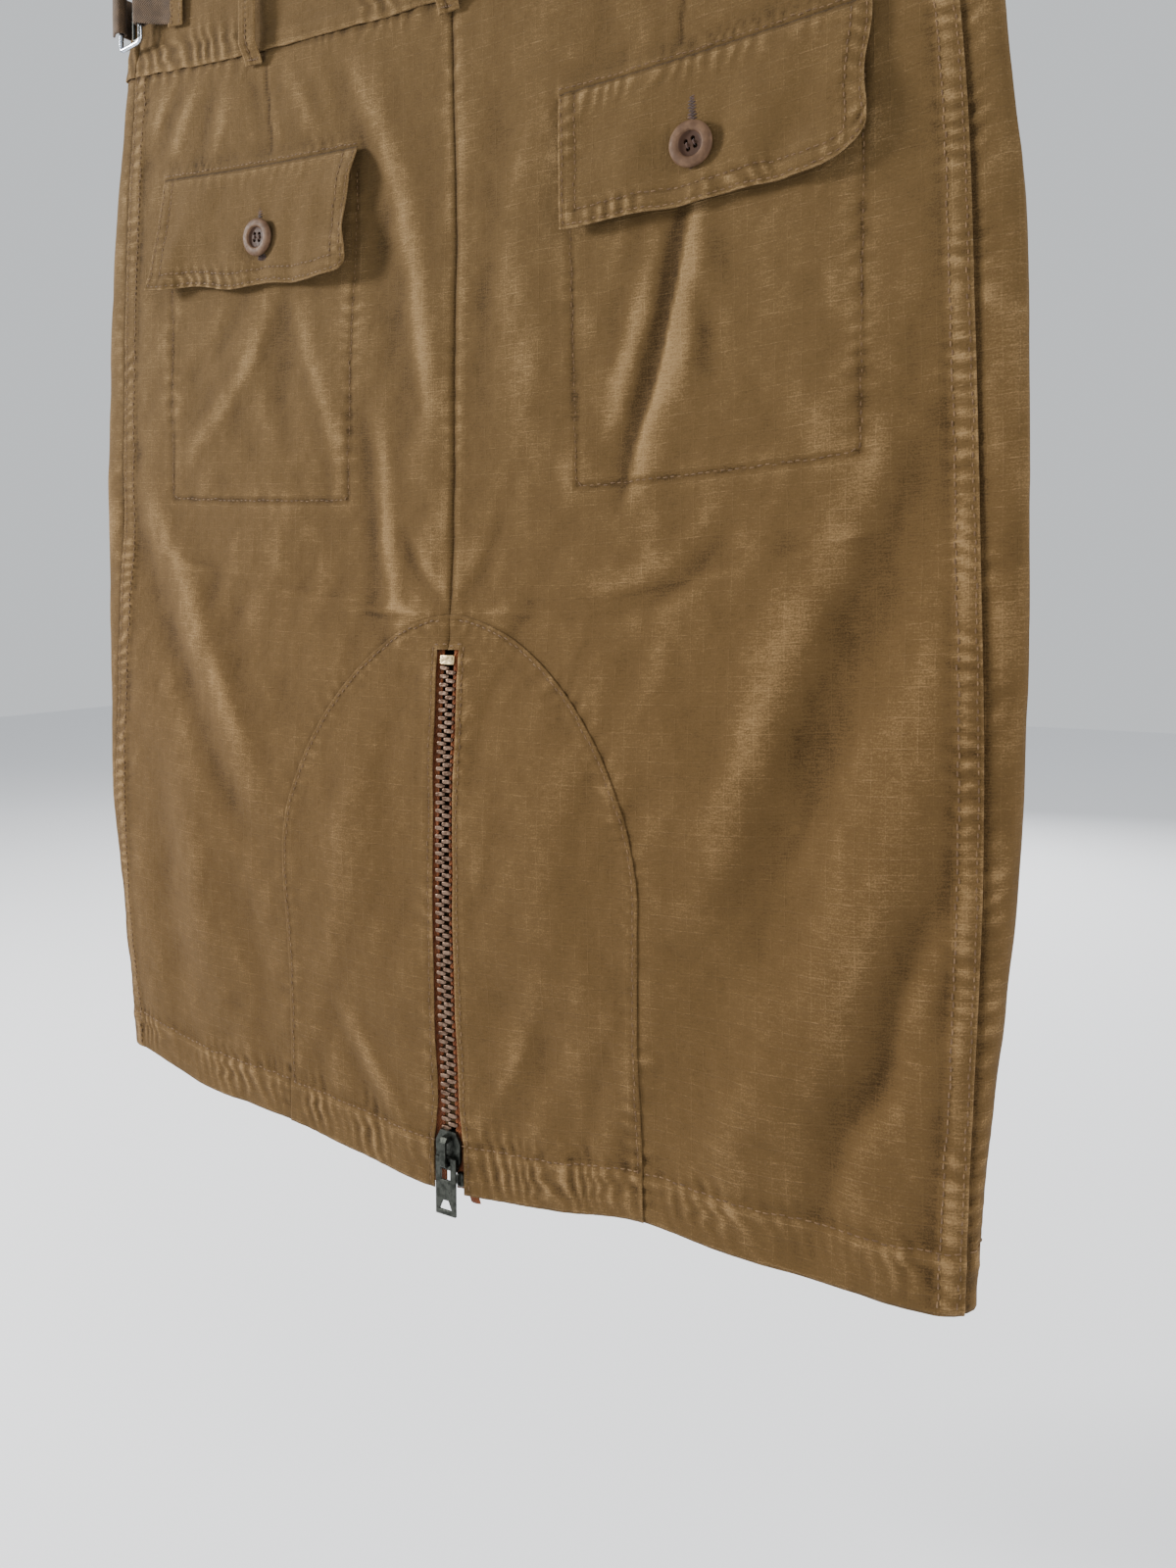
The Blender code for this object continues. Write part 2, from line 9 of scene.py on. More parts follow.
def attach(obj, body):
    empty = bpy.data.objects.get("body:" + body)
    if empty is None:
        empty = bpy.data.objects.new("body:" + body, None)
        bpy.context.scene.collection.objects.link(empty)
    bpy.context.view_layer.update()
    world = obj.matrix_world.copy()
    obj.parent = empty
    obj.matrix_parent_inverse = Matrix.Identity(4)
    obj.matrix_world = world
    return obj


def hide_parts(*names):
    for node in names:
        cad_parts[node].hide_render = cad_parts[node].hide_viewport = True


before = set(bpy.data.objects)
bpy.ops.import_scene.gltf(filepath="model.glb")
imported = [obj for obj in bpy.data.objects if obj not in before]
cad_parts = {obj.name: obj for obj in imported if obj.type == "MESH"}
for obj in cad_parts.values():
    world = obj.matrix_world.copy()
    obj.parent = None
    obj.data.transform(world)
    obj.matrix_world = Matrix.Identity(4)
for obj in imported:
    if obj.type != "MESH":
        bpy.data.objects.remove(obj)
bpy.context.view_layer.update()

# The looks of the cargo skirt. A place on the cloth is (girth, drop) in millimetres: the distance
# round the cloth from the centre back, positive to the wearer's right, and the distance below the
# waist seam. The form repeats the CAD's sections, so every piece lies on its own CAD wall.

MM = 0.001
ROOT = "skirt"
PULL_BODY = "pull"

# ---- the form ------------------------------------------------------------------------------------
BAND = 45.0
HEM = 514.0
SECTION_POWER = 2.8
SECTIONS = np.array([
    # drop, half the girth, back bow, front bow
    (-45, 426, 9.0, 17),
    (0, 440, 9.5, 17),
    (120, 470, 8.0, 18),
    (240, 477, 11.0, 20),
    (360, 473, 21.0, 20),
    (514, 436, 16.0, 20),
])
SEAM_INSETS = np.array([(-45, 13), (0, 14), (174, 20), (348, 16), (514, 6)])
SIDE_RISE_WAIST = 15.0
SIDE_RISE_HEM = 6.0

DOME_TOP = 271.0
DOME_WIDEST = 385.0
DOME_HALF_WIDTH = 92.5
DOME_POWER = 1.75
ZIP_TOP = 286.0
ZIP_HALF_OPENING = 5.3
ZIP_SPREAD = 2.2  # how much further the slider spreads the opening at the hem
SPREAD_FROM = 478.0
HEM_DEPTH = 20.0

FLAP_INNER = 54.0
FLAP_WIDTH = 129.0
FLAP_TOP = 57.0
FLAP_HEIGHT = 57.0
FLAP_CHAMFER = 22.0
FLAP_CHAMFER_RISE = 14.0
BUTTON_GIRTH = 114.0
BUTTON_DROP = 92.0
BAG_INNER = 58.0
BAG_OUTER = 177.0
BAG_BOTTOM = 219.0
LOOP_WIDTH = 11.0

CLOTH_WALL = 0.75
GAP = 0.25  # half the gap between panels that meet
BUTT = 0.03  # the same where both edges are turned in
OVER = 0.2  # how far an upper panel's folded edge laps past a seam
UNDER = 4.0  # how far the lower panel goes on beneath it


def smooth(table, column, at):
    """A smooth curve through one column of a table whose first column rises, at many places."""
    at = np.asarray(at, float)
    xs, ys = table[:, 0].astype(float), table[:, column].astype(float)
    slopes = np.gradient(ys, xs)
    i = np.clip(np.searchsorted(xs, at) - 1, 0, len(xs) - 2)
    span = xs[i + 1] - xs[i]
    t = np.clip((at - xs[i]) / span, 0, 1)
    start, end = (1 + 2 * t) * (1 - t) ** 2, t * t * (3 - 2 * t)
    leave, arrive = t * (1 - t) ** 2, t * t * (t - 1)
    return start * ys[i] + end * ys[i + 1] + span * (leave * slopes[i] + arrive * slopes[i + 1])


def half_girth(drop):
    return smooth(SECTIONS, 1, drop)


def side_girth(drop):
    return half_girth(drop) / 2 - smooth(SEAM_INSETS, 1, drop)


def section_tables():
    """Level sections at even drops and even shares of the half girth: x, y and outward x, y."""
    drops = np.linspace(-BAND - 2, HEM + 2, 282)
    shares = np.linspace(0, 1, 961)
    turn = np.linspace(0, math.pi, 1201)
    across = np.sin(turn) ** (2 / SECTION_POWER)
    bowed = np.sign(np.cos(turn)) * np.abs(np.cos(turn)) ** (2 / SECTION_POWER)
    tables = []
    for drop in drops:
        half, back, front = (float(smooth(SECTIONS, column, drop)) for column in (1, 2, 3))
        y = bowed * np.where(turn < math.pi / 2, back, front)
        width = half * 0.49
        for _ in range(6):
            girth = np.concatenate([[0], np.cumsum(np.hypot(np.diff(width * across), np.diff(y)))])
            width *= half / girth[-1]
        px = np.interp(shares * half, girth, width * across)
        py = np.interp(shares * half, girth, y)
        tx, ty = np.gradient(px), np.gradient(py)
        norm = np.hypot(tx, ty)
        tables.append((px, py, -ty / norm, tx / norm, px / width))
    return drops, np.array(tables)


TABLE_DROPS, TABLES = section_tables()


def skin(girth, drop, out):
    """Points in metres on the hanging form, moved out by a distance, for arrays of places."""
    girth, drop, out = np.broadcast_arrays(*(np.asarray(a, float) for a in (girth, drop, out)))
    half = half_girth(drop)
    over = np.abs(girth) > half  # past the centre front, onto the other half
    side = np.where(girth >= 0, 1.0, -1.0) * np.where(over, -1.0, 1.0)
    reach = np.where(over, 2 * half - np.abs(girth), np.abs(girth))
    share = np.clip(reach / half, 0, 1) * (TABLES.shape[2] - 1)
    row = np.clip((drop - TABLE_DROPS[0]) / (TABLE_DROPS[1] - TABLE_DROPS[0]), 0, len(TABLE_DROPS) - 1.001)
    r, c = row.astype(int), np.minimum(share.astype(int), TABLES.shape[2] - 2)
    fr, fc = row - r, share - c
    x, y, nx, ny, wide = (
        (TABLES[r, k, c] * (1 - fc) + TABLES[r, k, c + 1] * fc) * (1 - fr)
        + (TABLES[r + 1, k, c] * (1 - fc) + TABLES[r + 1, k, c + 1] * fc) * fr
        for k in range(5)
    )
    level = np.clip(drop / HEM, -0.1, 1)
    rise = (SIDE_RISE_WAIST * (1 - level) + SIDE_RISE_HEM * level) * wide**2
    return np.stack([-side * (x + nx * out), y + ny * out, -BAND - drop + rise], -1) * MM


def dome_edge(drop, grow=0.0):
    """Girth of the gusset's seam."""
    drop = np.asarray(drop, float)
    top, width = DOME_TOP - grow, DOME_HALF_WIDTH + grow
    rise = np.clip((DOME_WIDEST - drop) / (DOME_WIDEST - top), 0, 1)
    arch = width * (1 - rise**DOME_POWER) ** (1 / DOME_POWER)
    below = np.clip((drop - DOME_WIDEST) / (HEM - DOME_WIDEST), 0, 1)
    return arch - 1.5 * np.sin(math.pi * below)


# ---- noise and distances -------------------------------------------------------------------------
LATTICE = np.random.default_rng(7).random((256, 256)) * 2 - 1


def noise(x, y=0.0, seed=0):
    """Smooth value noise from -1 to 1, one lattice step to a unit."""
    x, y = np.broadcast_arrays(np.asarray(x, float) + 17.3 * seed, np.asarray(y, float) + 9.7 * seed)
    i, j = np.floor(x).astype(int), np.floor(y).astype(int)
    fx, fy = x - i, y - j
    fx, fy = fx * fx * (3 - 2 * fx), fy * fy * (3 - 2 * fy)
    a, b = LATTICE[i % 256, j % 256], LATTICE[(i + 1) % 256, j % 256]
    c, d = LATTICE[i % 256, (j + 1) % 256], LATTICE[(i + 1) % 256, (j + 1) % 256]
    return (a * (1 - fx) + b * fx) * (1 - fy) + (c * (1 - fx) + d * fx) * fy


def along_line(girth, drop, line):
    """For each place: its signed distance from a polyline and how far along the line it lies."""
    line = np.asarray(line, float)
    best = np.full(girth.shape, 1e9)
    signed, along = np.zeros(girth.shape), np.zeros(girth.shape)
    start = 0.0
    last = len(line) - 2
    for k, (a, b) in enumerate(zip(line, line[1:])):
        step = b - a
        length = math.hypot(*step)
        t = ((girth - a[0]) * step[0] + (drop - a[1]) * step[1]) / length
        held = np.clip(t, 0 if k else -1e9, length if k < last else 1e9)
        px, py = girth - a[0] - held * step[0] / length, drop - a[1] - held * step[1] / length
        far = np.hypot(px, py)
        near = far < best
        best = np.where(near, far, best)
        cross = (step[0] * (drop - a[1]) - step[1] * (girth - a[0])) / length
        signed = np.where(near, np.sign(cross) * far, signed)
        along = np.where(near, start + held, along)
        start += length
    return signed, along, start


def rounded(points, per_span=6):
    """A smooth line through points."""
    points = [np.asarray(p, float) for p in points]
    ends = [2 * points[0] - points[1]] + points + [2 * points[-1] - points[-2]]
    line = []
    for a, b, c, d in zip(ends, ends[1:], ends[2:], ends[3:]):
        for i in range(per_span):
            t = i / per_span
            line.append(0.5 * (2 * b + (c - a) * t + (2 * a - 5 * b + 4 * c - d) * t * t
                               + (3 * b - a - 3 * c + d) * t**3))
    return np.array(line + [points[-1]])


# ---- folds of the hanging cloth ------------------------------------------------------------------
# Each crease: its line, half width on its left and right, height (a trough is negative).
# Left and right are those of someone who walks along the line.
CREASES = (
    # the broad trough that runs from the right hip down to the hem, and the ridges beside it
    (((207, 205), (184, 268), (163, 327), (145, 376), (127, 412), (106, 478)), 17, 22, -7.5),
    (((186, 222), (168, 252), (149, 290), (137, 333), (119, 384)), 12, 11, 4.5),
    (((206, 300), (190, 350), (176, 395), (152, 452)), 14, 16, 4.0),
    (((206, 372), (192, 405), (185, 437), (170, 462), (160, 500)), 7, 9, -5.0),
    (((214, 396), (208, 410), (199, 428)), 5, 5, -2.2),
    (((208, 452), (200, 478), (196, 500)), 6, 6, -2.4),
    (((140, 440), (131, 470), (128, 500)), 9, 9, 2.0),
    # creases that hang from the right flap's button
    (((109, 108), (105, 130), (101, 148), (94, 176), (86, 200), (82, 220)), 3.2, 9, -4.0),
    (((99, 112), (94, 140), (86, 166), (76, 196)), 6, 5, 2.4),
    (((114, 112), (112, 140), (107, 170), (98, 205)), 5, 8, 2.2),
    (((107, 134), (114, 154), (119, 186)), 4, 5, -1.6),
    (((132, 232), (118, 250), (103, 263), (77, 270), (46, 271)), 4, 7, -2.2),
    (((126, 226), (112, 243), (98, 254), (74, 260)), 5, 5, 1.4),
    # beside the centre back seam
    (((-58, 8), (-35, 64), (-22, 114), (-15, 155), (-7, 214)), 8, 6, 3.6),
    (((-70, 24), (-50, 76), (-38, 124), (-26, 178)), 8, 8, -2.6),
    (((-43, 170), (-38, 213), (-34, 250), (-27, 284)), 5, 5, 2.2),
    (((-52, 180), (-48, 216), (-43, 262)), 5, 5, -1.4),
    (((-28, 234), (-17, 254), (-4, 268)), 3, 4, -2.0),
    (((24, 232), (14, 254), (4, 268)), 4, 3, -1.6),
    (((28, 20), (20, 80), (12, 150), (8, 220)), 9, 9, -1.6),
    (((30, 120), (36, 190), (40, 250)), 10, 10, 1.6),
    # the left panel's long diagonal ridge and trough
    (((-198, 216), (-173, 253), (-148, 294), (-128, 325), (-108, 355)), 9, 13, 4.2),
    (((-214, 226), (-188, 272), (-161, 316), (-140, 348), (-112, 380)), 11, 10, -4.0),
    (((-160, 360), (-150, 410), (-146, 470)), 12, 12, 2.6),
    (((-185, 350), (-178, 420), (-168, 490)), 11, 11, -2.8),
    (((-120, 400), (-112, 450), (-108, 500)), 8, 9, -1.8),
    (((-196, 14), (-206, 70), (-210, 130), (-212, 214)), 7, 7, -2.0),
    # below the left flap
    (((-108, 116), (-124, 150), (-142, 172), (-166, 198)), 5, 6, 2.6),
    (((-96, 116), (-85, 147), (-77, 166), (-68, 190), (-65, 216)), 6, 5, 2.4),
    (((-102, 118), (-104, 150), (-100, 190)), 9, 9, -1.8),
    (((-128, 118), (-148, 144), (-170, 160)), 5, 6, -1.6),
    # the waist fans out over the pockets
    (((-172, 1), (-184, 20), (-195, 40)), 3.5, 3.5, 2.0),
    (((-153, 1), (-164, 20), (-176, 42)), 4, 4, 1.8),
    (((-184, 1), (-198, 30), (-208, 62)), 4, 4, 1.8),
    (((-136, 2), (-140, 26), (-148, 50)), 4, 4, 1.2),
    (((-124, 2), (-118, 22), (-112, 50)), 4, 4, -1.2),
    (((-98, 2), (-90, 26), (-74, 52)), 5, 5, 1.7),
    (((-84, 2), (-72, 30), (-60, 66)), 5, 5, 1.5),
    (((-146, 3), (-152, 28), (-160, 52)), 3.5, 3.5, -1.1),
    (((84, 2), (88, 26), (92, 54)), 6, 6, 1.2),
    (((140, 2), (150, 26), (158, 54)), 6, 6, 1.3),
    (((172, 2), (182, 28), (190, 70)), 7, 7, -1.5),
    (((60, 4), (52, 40), (46, 90)), 8, 8, 1.4),
    # the gusset
    (((12, 398), (23, 383), (28, 358)), 4, 5, -1.6),
    (((47, 422), (35, 449), (24, 471), (7, 494)), 4, 6, 2.6),
    (((56, 430), (46, 456), (34, 482)), 5, 6, -1.8),
    (((60, 330), (48, 380), (44, 420)), 12, 12, 2.0),
    (((16, 330), (24, 300), (34, 290)), 3, 4, -1.2),
    (((-57, 448), (-43, 469), (-31, 484), (-20, 498)), 4, 5, 2.2),
    (((-64, 454), (-50, 478), (-38, 496)), 5, 5, -1.8),
    (((-40, 330), (-52, 380), (-60, 430)), 12, 12, 1.8),
    (((-22, 300), (-30, 330), (-32, 372)), 6, 7, -1.4),
    (((-76, 470), (-70, 490), (-66, 508)), 4, 4, -1.2),
    (((70, 462), (66, 486), (64, 508)), 4, 5, -1.3),
    # the hidden front hangs in the same way
    (((420, 190), (372, 330), (332, 480)), 22, 24, -5.5),
    (((392, 150), (346, 300), (300, 440)), 18, 18, 4.0),
    (((300, 60), (286, 160), (276, 280)), 14, 16, -3.0),
    (((262, 200), (268, 330), (280, 470)), 14, 14, -3.4),
    (((-420, 220), (-384, 350), (-350, 484)), 22, 22, -5.0),
    (((-396, 120), (-360, 250), (-316, 400)), 18, 16, 3.6),
    (((-300, 70), (-282, 180), (-278, 300)), 14, 14, -3.0),
    (((-262, 240), (-272, 360), (-290, 480)), 14, 13, -3.2),
    (((352, 4), (346, 60), (330, 120)), 9, 9, 2.2),
    (((-352, 4), (-340, 50), (-326, 110)), 9, 9, 2.0),
    (((300, 4), (306, 50), (316, 110)), 8, 8, -1.8),
    (((-306, 4), (-312, 60), (-322, 120)), 8, 8, -1.6),
)
CREASE_LINES = [rounded(line) for line, _, _, _ in CREASES]


def folds(girth, drop):
    """How far the hanging folds and fine crumples push the cloth out."""
    total = np.zeros(np.shape(girth))
    for line, (_, left, right, height) in zip(CREASE_LINES, CREASES):
        signed, along, length = along_line(girth, drop, line)
        share = np.clip((along / length + 0.12) / 1.24, 0, 1)
        fade = np.sin(math.pi * share) ** 0.8
        broad = 1.3 if max(left, right) > 8.5 else 1.5
        width = broad * np.where(signed > 0, right, left) * (0.9 + 0.25 * noise(along / 40, 0.5, 3))
        total += (0.8 if broad == 1.3 else 0.5) * height * fade * np.exp(-((signed / width) ** 2))
    loose = np.clip(drop / 200, 0, 1)
    total += (0.8 + 0.8 * loose) * noise(girth / 46, drop / 70, 1)
    slant, run = girth * 0.86 - drop * 0.5, drop * 0.86 + girth * 0.5
    total += (0.25 + 0.3 * loose) * noise(slant / 16, run / 38, 2)
    slant, run = girth * 0.94 + drop * 0.34, drop * 0.94 - girth * 0.34
    total += (0.2 + 0.2 * loose) * noise(slant / 11, run / 26, 5)
    total += 0.1 * noise(girth / 6, drop / 8, 4) + 0.05 * noise(girth / 3.4, drop / 4, 8)
    held = np.clip(drop / 22, 0, 1)
    return total * held * held * (3 - 2 * held)


# ---- seams: what the stitching does to the cloth ---------------------------------------------------
def puckers(signed, along, middle, reach, pitch, height, seed):
    """The rope-like ridges that stand across a row of stitching."""
    wander = along / pitch + 0.7 * noise(along / (2.6 * pitch), 0.3, seed)
    size = 0.45 + 0.75 * noise(along / (2.7 * pitch), 1.7, seed + 1)
    lean = 0.3 * (signed - middle) / pitch + 0.25 * noise(signed / 4, along / 15, seed + 2)
    wave = 0.5 + 0.5 * np.cos(2 * math.pi * (wander + lean))
    window = np.exp(-(((signed - middle) / reach) ** 2))
    return 0.8 * height * np.clip(size, 0, 2) * (wave**1.3 - 0.45) * window


def groove(signed, at, width, depth):
    return -depth * np.exp(-(((signed - at) / width) ** 2))


def step_up(signed, at, run, height):
    """A change of level across a seam, from nothing to the height as signed grows past at."""
    t = np.clip((signed - at) / run + 0.5, 0, 1)
    return height * t * t * (3 - 2 * t)


def mirrored(line, side):
    return [(side * g, d) for g, d in line]


def zip_edge(drop):
    """Half the width of the opening over the zip, which the slider spreads at the hem."""
    return ZIP_HALF_OPENING + ZIP_SPREAD * np.clip((np.asarray(drop, float) - SPREAD_FROM) / 16, 0, 1)


def side_line(side):
    return [(side * float(side_girth(d)), d) for d in np.linspace(-2, HEM + 2, 30)]


def arch_line(side, inset=0.0):
    """The gusset's seam, moved in towards the zip by an inset."""
    rows = DOME_TOP + (DOME_WIDEST - DOME_TOP) * np.linspace(0, 1, 26) ** 1.9
    rows = np.concatenate([rows, np.linspace(DOME_WIDEST, HEM, 8)[1:]])
    grown = [(float(dome_edge(d, -inset)), d) for d in rows if d >= DOME_TOP + inset]
    return mirrored(grown, side)


def bag_line(side):
    inner, outer = side * BAG_INNER, side * BAG_OUTER
    low = BAG_BOTTOM
    return [(inner - side * 2, FLAP_TOP + 10), (inner + side * 3, low), (outer + side * 1, low - 1),
            (outer + side * 3, FLAP_TOP + 10)]


SIDE_ROWS = (1.6, 8.0)  # the two stitch rows, measured back from the side seam's folded edge
HEM_ROW = HEM - HEM_DEPTH
LAYER_STEP = 0.8
FOLD_RISE = 1.35  # the folded edge of the panel above a flap
FLAP_ROW = 2.0  # the stitch row above that edge


def back_height(girth, drop, side):
    """Everything a back panel's surface does besides its large folds."""
    h = np.zeros(np.shape(girth))
    signed, along, _ = along_line(girth, drop, side_line(side))
    inside = np.abs(signed)
    h += step_up(-inside, -9.0, 1.6, LAYER_STEP)
    h += puckers(inside, along, 4.8, 6.0, 6.4, 0.95, 11 + side)
    for row in SIDE_ROWS:
        h += groove(inside, row, 0.9, 0.35)
    up = HEM - drop
    h += step_up(-up, -HEM_DEPTH - 0.8, 1.6, 0.6)
    h += puckers(up, girth, 13, 9.5, 6.4, 1.0, 21) + groove(up, HEM_DEPTH, 1.0, 0.35)
    h += puckers(up, girth, HEM_DEPTH + 3, 5, 7.0, 0.5, 24)
    h += puckers(drop, girth, 0, 9, 7.5, 0.9, 31)
    centre = np.abs(girth)
    above = np.clip((DOME_TOP - drop) / 10, 0, 1)
    h += above * (groove(centre, 0, 1.6, 0.7) + puckers(centre, drop, 1, 4, 9, 0.35, 41))
    signed, along, _ = along_line(girth, drop, arch_line(side))
    off = np.abs(signed)
    below = np.clip((drop - DOME_TOP + 8) / 10, 0, 1)
    h += below * (groove(off, 0, 2.2, 0.12) + puckers(off, along, 2, 5, 8, 0.5, 51))
    signed, along, _ = along_line(girth, drop, bag_line(side))
    off = np.abs(signed)
    shown = np.clip((drop - FLAP_TOP - 6) / 8, 0, 1)
    h += shown * (groove(off, 0, 1.3, 0.55) + puckers(off, along, 0, 5, 8.5, 0.55, 61 + side))
    first = FLAP_INNER if side > 0 else -FLAP_INNER - FLAP_WIDTH
    reach = np.clip((girth - first + 2) / 3, 0, 1) * np.clip((first + FLAP_WIDTH + 2 - girth) / 3, 0, 1)
    over = FLAP_TOP - drop
    folded = FOLD_RISE * np.clip((over + 0.5) / 0.7, 0, 1) * np.exp(-((np.clip(over, 0, 99) / 4.5) ** 2))
    h += reach * (folded + puckers(over, girth, 3, 5, 5.5, 0.9, 71 + side) + groove(over, FLAP_ROW, 0.8, 0.35))
    dart = [(side * 112, 0), (side * 108, FLAP_TOP - 6)]
    signed, along, _ = along_line(girth, drop, dart)
    near = np.clip((FLAP_TOP - drop) / 8, 0, 1)
    h += near * (groove(signed, 0, 1.2, 0.6) + puckers(np.abs(signed), along, 0, 4, 9, 0.3, 81))
    return h


def dome_height(girth, drop, side):
    """A half of the gusset: its folded edge lies on the back panel and its other edge on the zip."""
    signed, along, _ = along_line(girth, drop, arch_line(side))
    off = np.abs(signed)
    h = 0.6 * np.exp(-((off / 6.0) ** 2)) + groove(off, 1.9, 0.9, 0.3)
    h += puckers(off, along, 3, 5, 7.5, 0.5, 91 + side)
    up = HEM - drop
    h += step_up(-up, -HEM_DEPTH - 0.8, 1.6, 0.6)
    h += puckers(up, girth, 12, 10, 6.2, 1.25, 101) + groove(up, HEM_DEPTH, 1.0, 0.35)
    h += puckers(up, girth, HEM_DEPTH + 4, 6, 6.6, 0.6, 104)
    centre = np.abs(girth) - zip_edge(drop)
    zipped = np.clip((drop - ZIP_TOP + 4) / 4, 0, 1)
    h += zipped * (0.5 * np.exp(-((centre / 7) ** 2)) + groove(centre, 2.2, 0.8, 0.35))
    h += zipped * puckers(centre, drop, 3, 5, 10, 0.55, 111 + side)
    above = 1 - zipped
    h += above * groove(np.abs(girth), 0, 1.4, 0.5)
    return h


def front_height(girth, drop, side):
    h = np.zeros(np.shape(girth))
    signed, along, _ = along_line(girth, drop, side_line(side))
    off = np.abs(signed)
    h += groove(off, 0, 2.6, 0.45) + puckers(off, along, 1, 6, 8.2, 0.9, 121 + side)
    up = HEM - drop
    h += step_up(-up, -HEM_DEPTH - 0.8, 1.6, 0.6)
    h += puckers(up, girth, 13, 9.5, 6.4, 1.0, 131) + groove(up, HEM_DEPTH, 1.0, 0.35)
    h += puckers(drop, girth, 0, 9, 7.5, 0.9, 141)
    centre = half_girth(drop) - np.abs(girth)
    h += groove(centre, 0, 1.5, 0.6) + puckers(centre, drop, 1, 4, 9, 0.35, 151)
    return h


def band_height(girth, drop, side=1):
    """The waistband: its lower fold lies on the panels, its body is slightly puckered."""
    up = -drop
    h = 0.7 * np.exp(-((up / 6.0) ** 2)) + groove(up, 1.8, 0.8, 0.3)
    h += puckers(up, girth, 6, 10, 8.5, 1.0, 161)
    top = BAND - up
    h += groove(top, 1.8, 0.8, 0.3) + puckers(top, girth, 6, 9, 9.5, 0.6, 171)
    h += 0.35 * noise(girth / 14, drop / 16, 6)
    return h


# ---- making meshes -------------------------------------------------------------------------------
HEM_SAG = np.array([
    # girth, how much lower the hem hangs there
    (-300, 0), (-245, -3), (-205, -10), (-150, -4), (-95, -3), (-50, 2), (-12, 6), (12, 6), (50, 3),
    (92, -2.5), (130, 1), (170, 5), (205, 8), (240, 3), (300, 0),
])


def place(girth, drop, out):
    """A place on the skirt, with the hem's uneven sag."""
    girth, drop = np.broadcast_arrays(np.asarray(girth, float), np.asarray(drop, float))
    low = np.clip((drop - 330) / (HEM - 330), 0, 1.1)
    return skin(girth, drop + low**2 * smooth(HEM_SAG, 1, np.clip(girth, -300, 300)), out)


def new_object(name, verts, faces, finish, slot, nodes=(), body=ROOT):
    mesh = bpy.data.meshes.new(name)
    mesh.from_pydata(np.asarray(verts).tolist(), [], [list(face) for face in np.asarray(faces).tolist()])
    mesh.materials.append(finish)
    mesh.shade_smooth()
    made = bpy.data.objects.new(name, mesh)
    bpy.context.scene.collection.objects.link(made)
    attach(made, body)
    if nodes:
        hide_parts(*nodes)
    return made


def blurred(grid, size):
    """A grid averaged over a square neighbourhood."""
    padded = np.pad(grid, size, mode="edge")
    total = np.cumsum(np.cumsum(np.pad(padded, ((1, 0), (1, 0))), 0), 1)
    span = 2 * size + 1
    area = total[span:, span:] - total[:-span, span:] - total[span:, :-span] + total[:-span, :-span]
    return area / span**2


def shell(name, girth, drop, height, finish, slot, nodes, base=0.0, wall=CLOTH_WALL, edge=None):
    """A closed cloth wall over a grid of places. Its first and last rows and columns are folded or
    cut edges, which are thinner, and wear_and_shading is how far each place stands up from its
    surroundings, plus edge: the colour shows it as fading and painted highlight where high and
    painted shade where low."""
    rows, columns = girth.shape
    count = rows * columns
    thickness = np.full(girth.shape, wall)
    for ring, share in ((0, 0.35), (1, 0.85)):
        thickness[ring, :] *= share
        thickness[-1 - ring, :] *= share
        thickness[:, ring] *= share
        thickness[:, -1 - ring] *= share
    outer = place(girth, drop, base + height + thickness / 2)
    inner = place(girth, drop, base + height - thickness / 2)
    index = np.arange(count).reshape(rows, columns)
    quads = np.stack([index[:-1, :-1], index[:-1, 1:], index[1:, 1:], index[1:, :-1]], -1).reshape(-1, 4)
    rim = np.concatenate([index[0, :], index[1:, -1], index[-1, -2::-1], index[-2:0:-1, 0]])
    after = np.roll(rim, -1)
    walls = np.stack([rim, rim + count, after + count, after], -1)
    faces = np.concatenate([quads, quads[:, ::-1] + count, walls])
    flat = outer.reshape(-1, 3)
    corner = quads[len(quads) // 2]
    facing = np.cross(flat[corner[1]] - flat[corner[0]], flat[corner[3]] - flat[corner[0]])
    if facing @ (flat[corner[0]] - inner.reshape(-1, 3)[corner[0]]) < 0:
        faces = faces[:, ::-1]
    made = new_object(name, np.concatenate([flat, inner.reshape(-1, 3)]), faces, finish, slot, nodes)
    mesh = made.data
    uv = np.tile(np.stack([girth, drop], -1).reshape(-1, 2) * MM, (2, 1))
    corners = np.empty(len(mesh.loops), np.int32)
    mesh.loops.foreach_get("vertex_index", corners)
    layer = mesh.uv_layers.new(name="cloth")
    layer.data.foreach_set("uv", uv[corners].ravel())
    # Raised places get a higher value and sunken ones a lower. The colour shows this as fading on puckers and
    # folded edges, painted highlight on ridges, and painted shade in grooves, creases and troughs.
    relief = 0.8 * (height - blurred(height, 3)) + 0.2 * (height - blurred(height, 6))
    wear_and_shading = np.clip(0.5 + relief, 0, 1)
    if edge is not None:
        wear_and_shading = np.clip(wear_and_shading + edge, 0, 1)
    layer = mesh.attributes.new("wear_and_shading", "FLOAT", "POINT")
    layer.data.foreach_set("value", np.tile(wear_and_shading.ravel(), 2).astype(np.float32))
    return made


def sampled(points, count):
    """Places at even distances along a line."""
    points = np.asarray(points, float)
    far = np.concatenate([[0], np.cumsum(np.hypot(*np.diff(points, axis=0).T))])
    at = np.linspace(0, far[-1], count)
    return np.stack([np.interp(at, far, points[:, k]) for k in (0, 1)], -1)


def ruled(inner, outer, dense, fine, coarse):
    """A grid between two lines with as many points each: columns are close together near both."""
    across = np.hypot(*(outer - inner).T)[:, None]
    band = np.minimum(dense, across * 0.3)
    start = np.concatenate([[0, 0.45 / dense], np.linspace(1.2 / dense, 1, fine)])
    middle = np.linspace(0, 1, coarse + 2)[1:-1]
    share = np.concatenate([band * start, band + (across - 2 * band) * middle,
                            across - band * start[::-1]], 1) / np.maximum(across, 1e-6)
    return tuple(inner[:, None, k] + (outer - inner)[:, None, k] * share for k in (0, 1))


def hang(piece):
    """Hands back a cloth piece as it is."""
    return piece


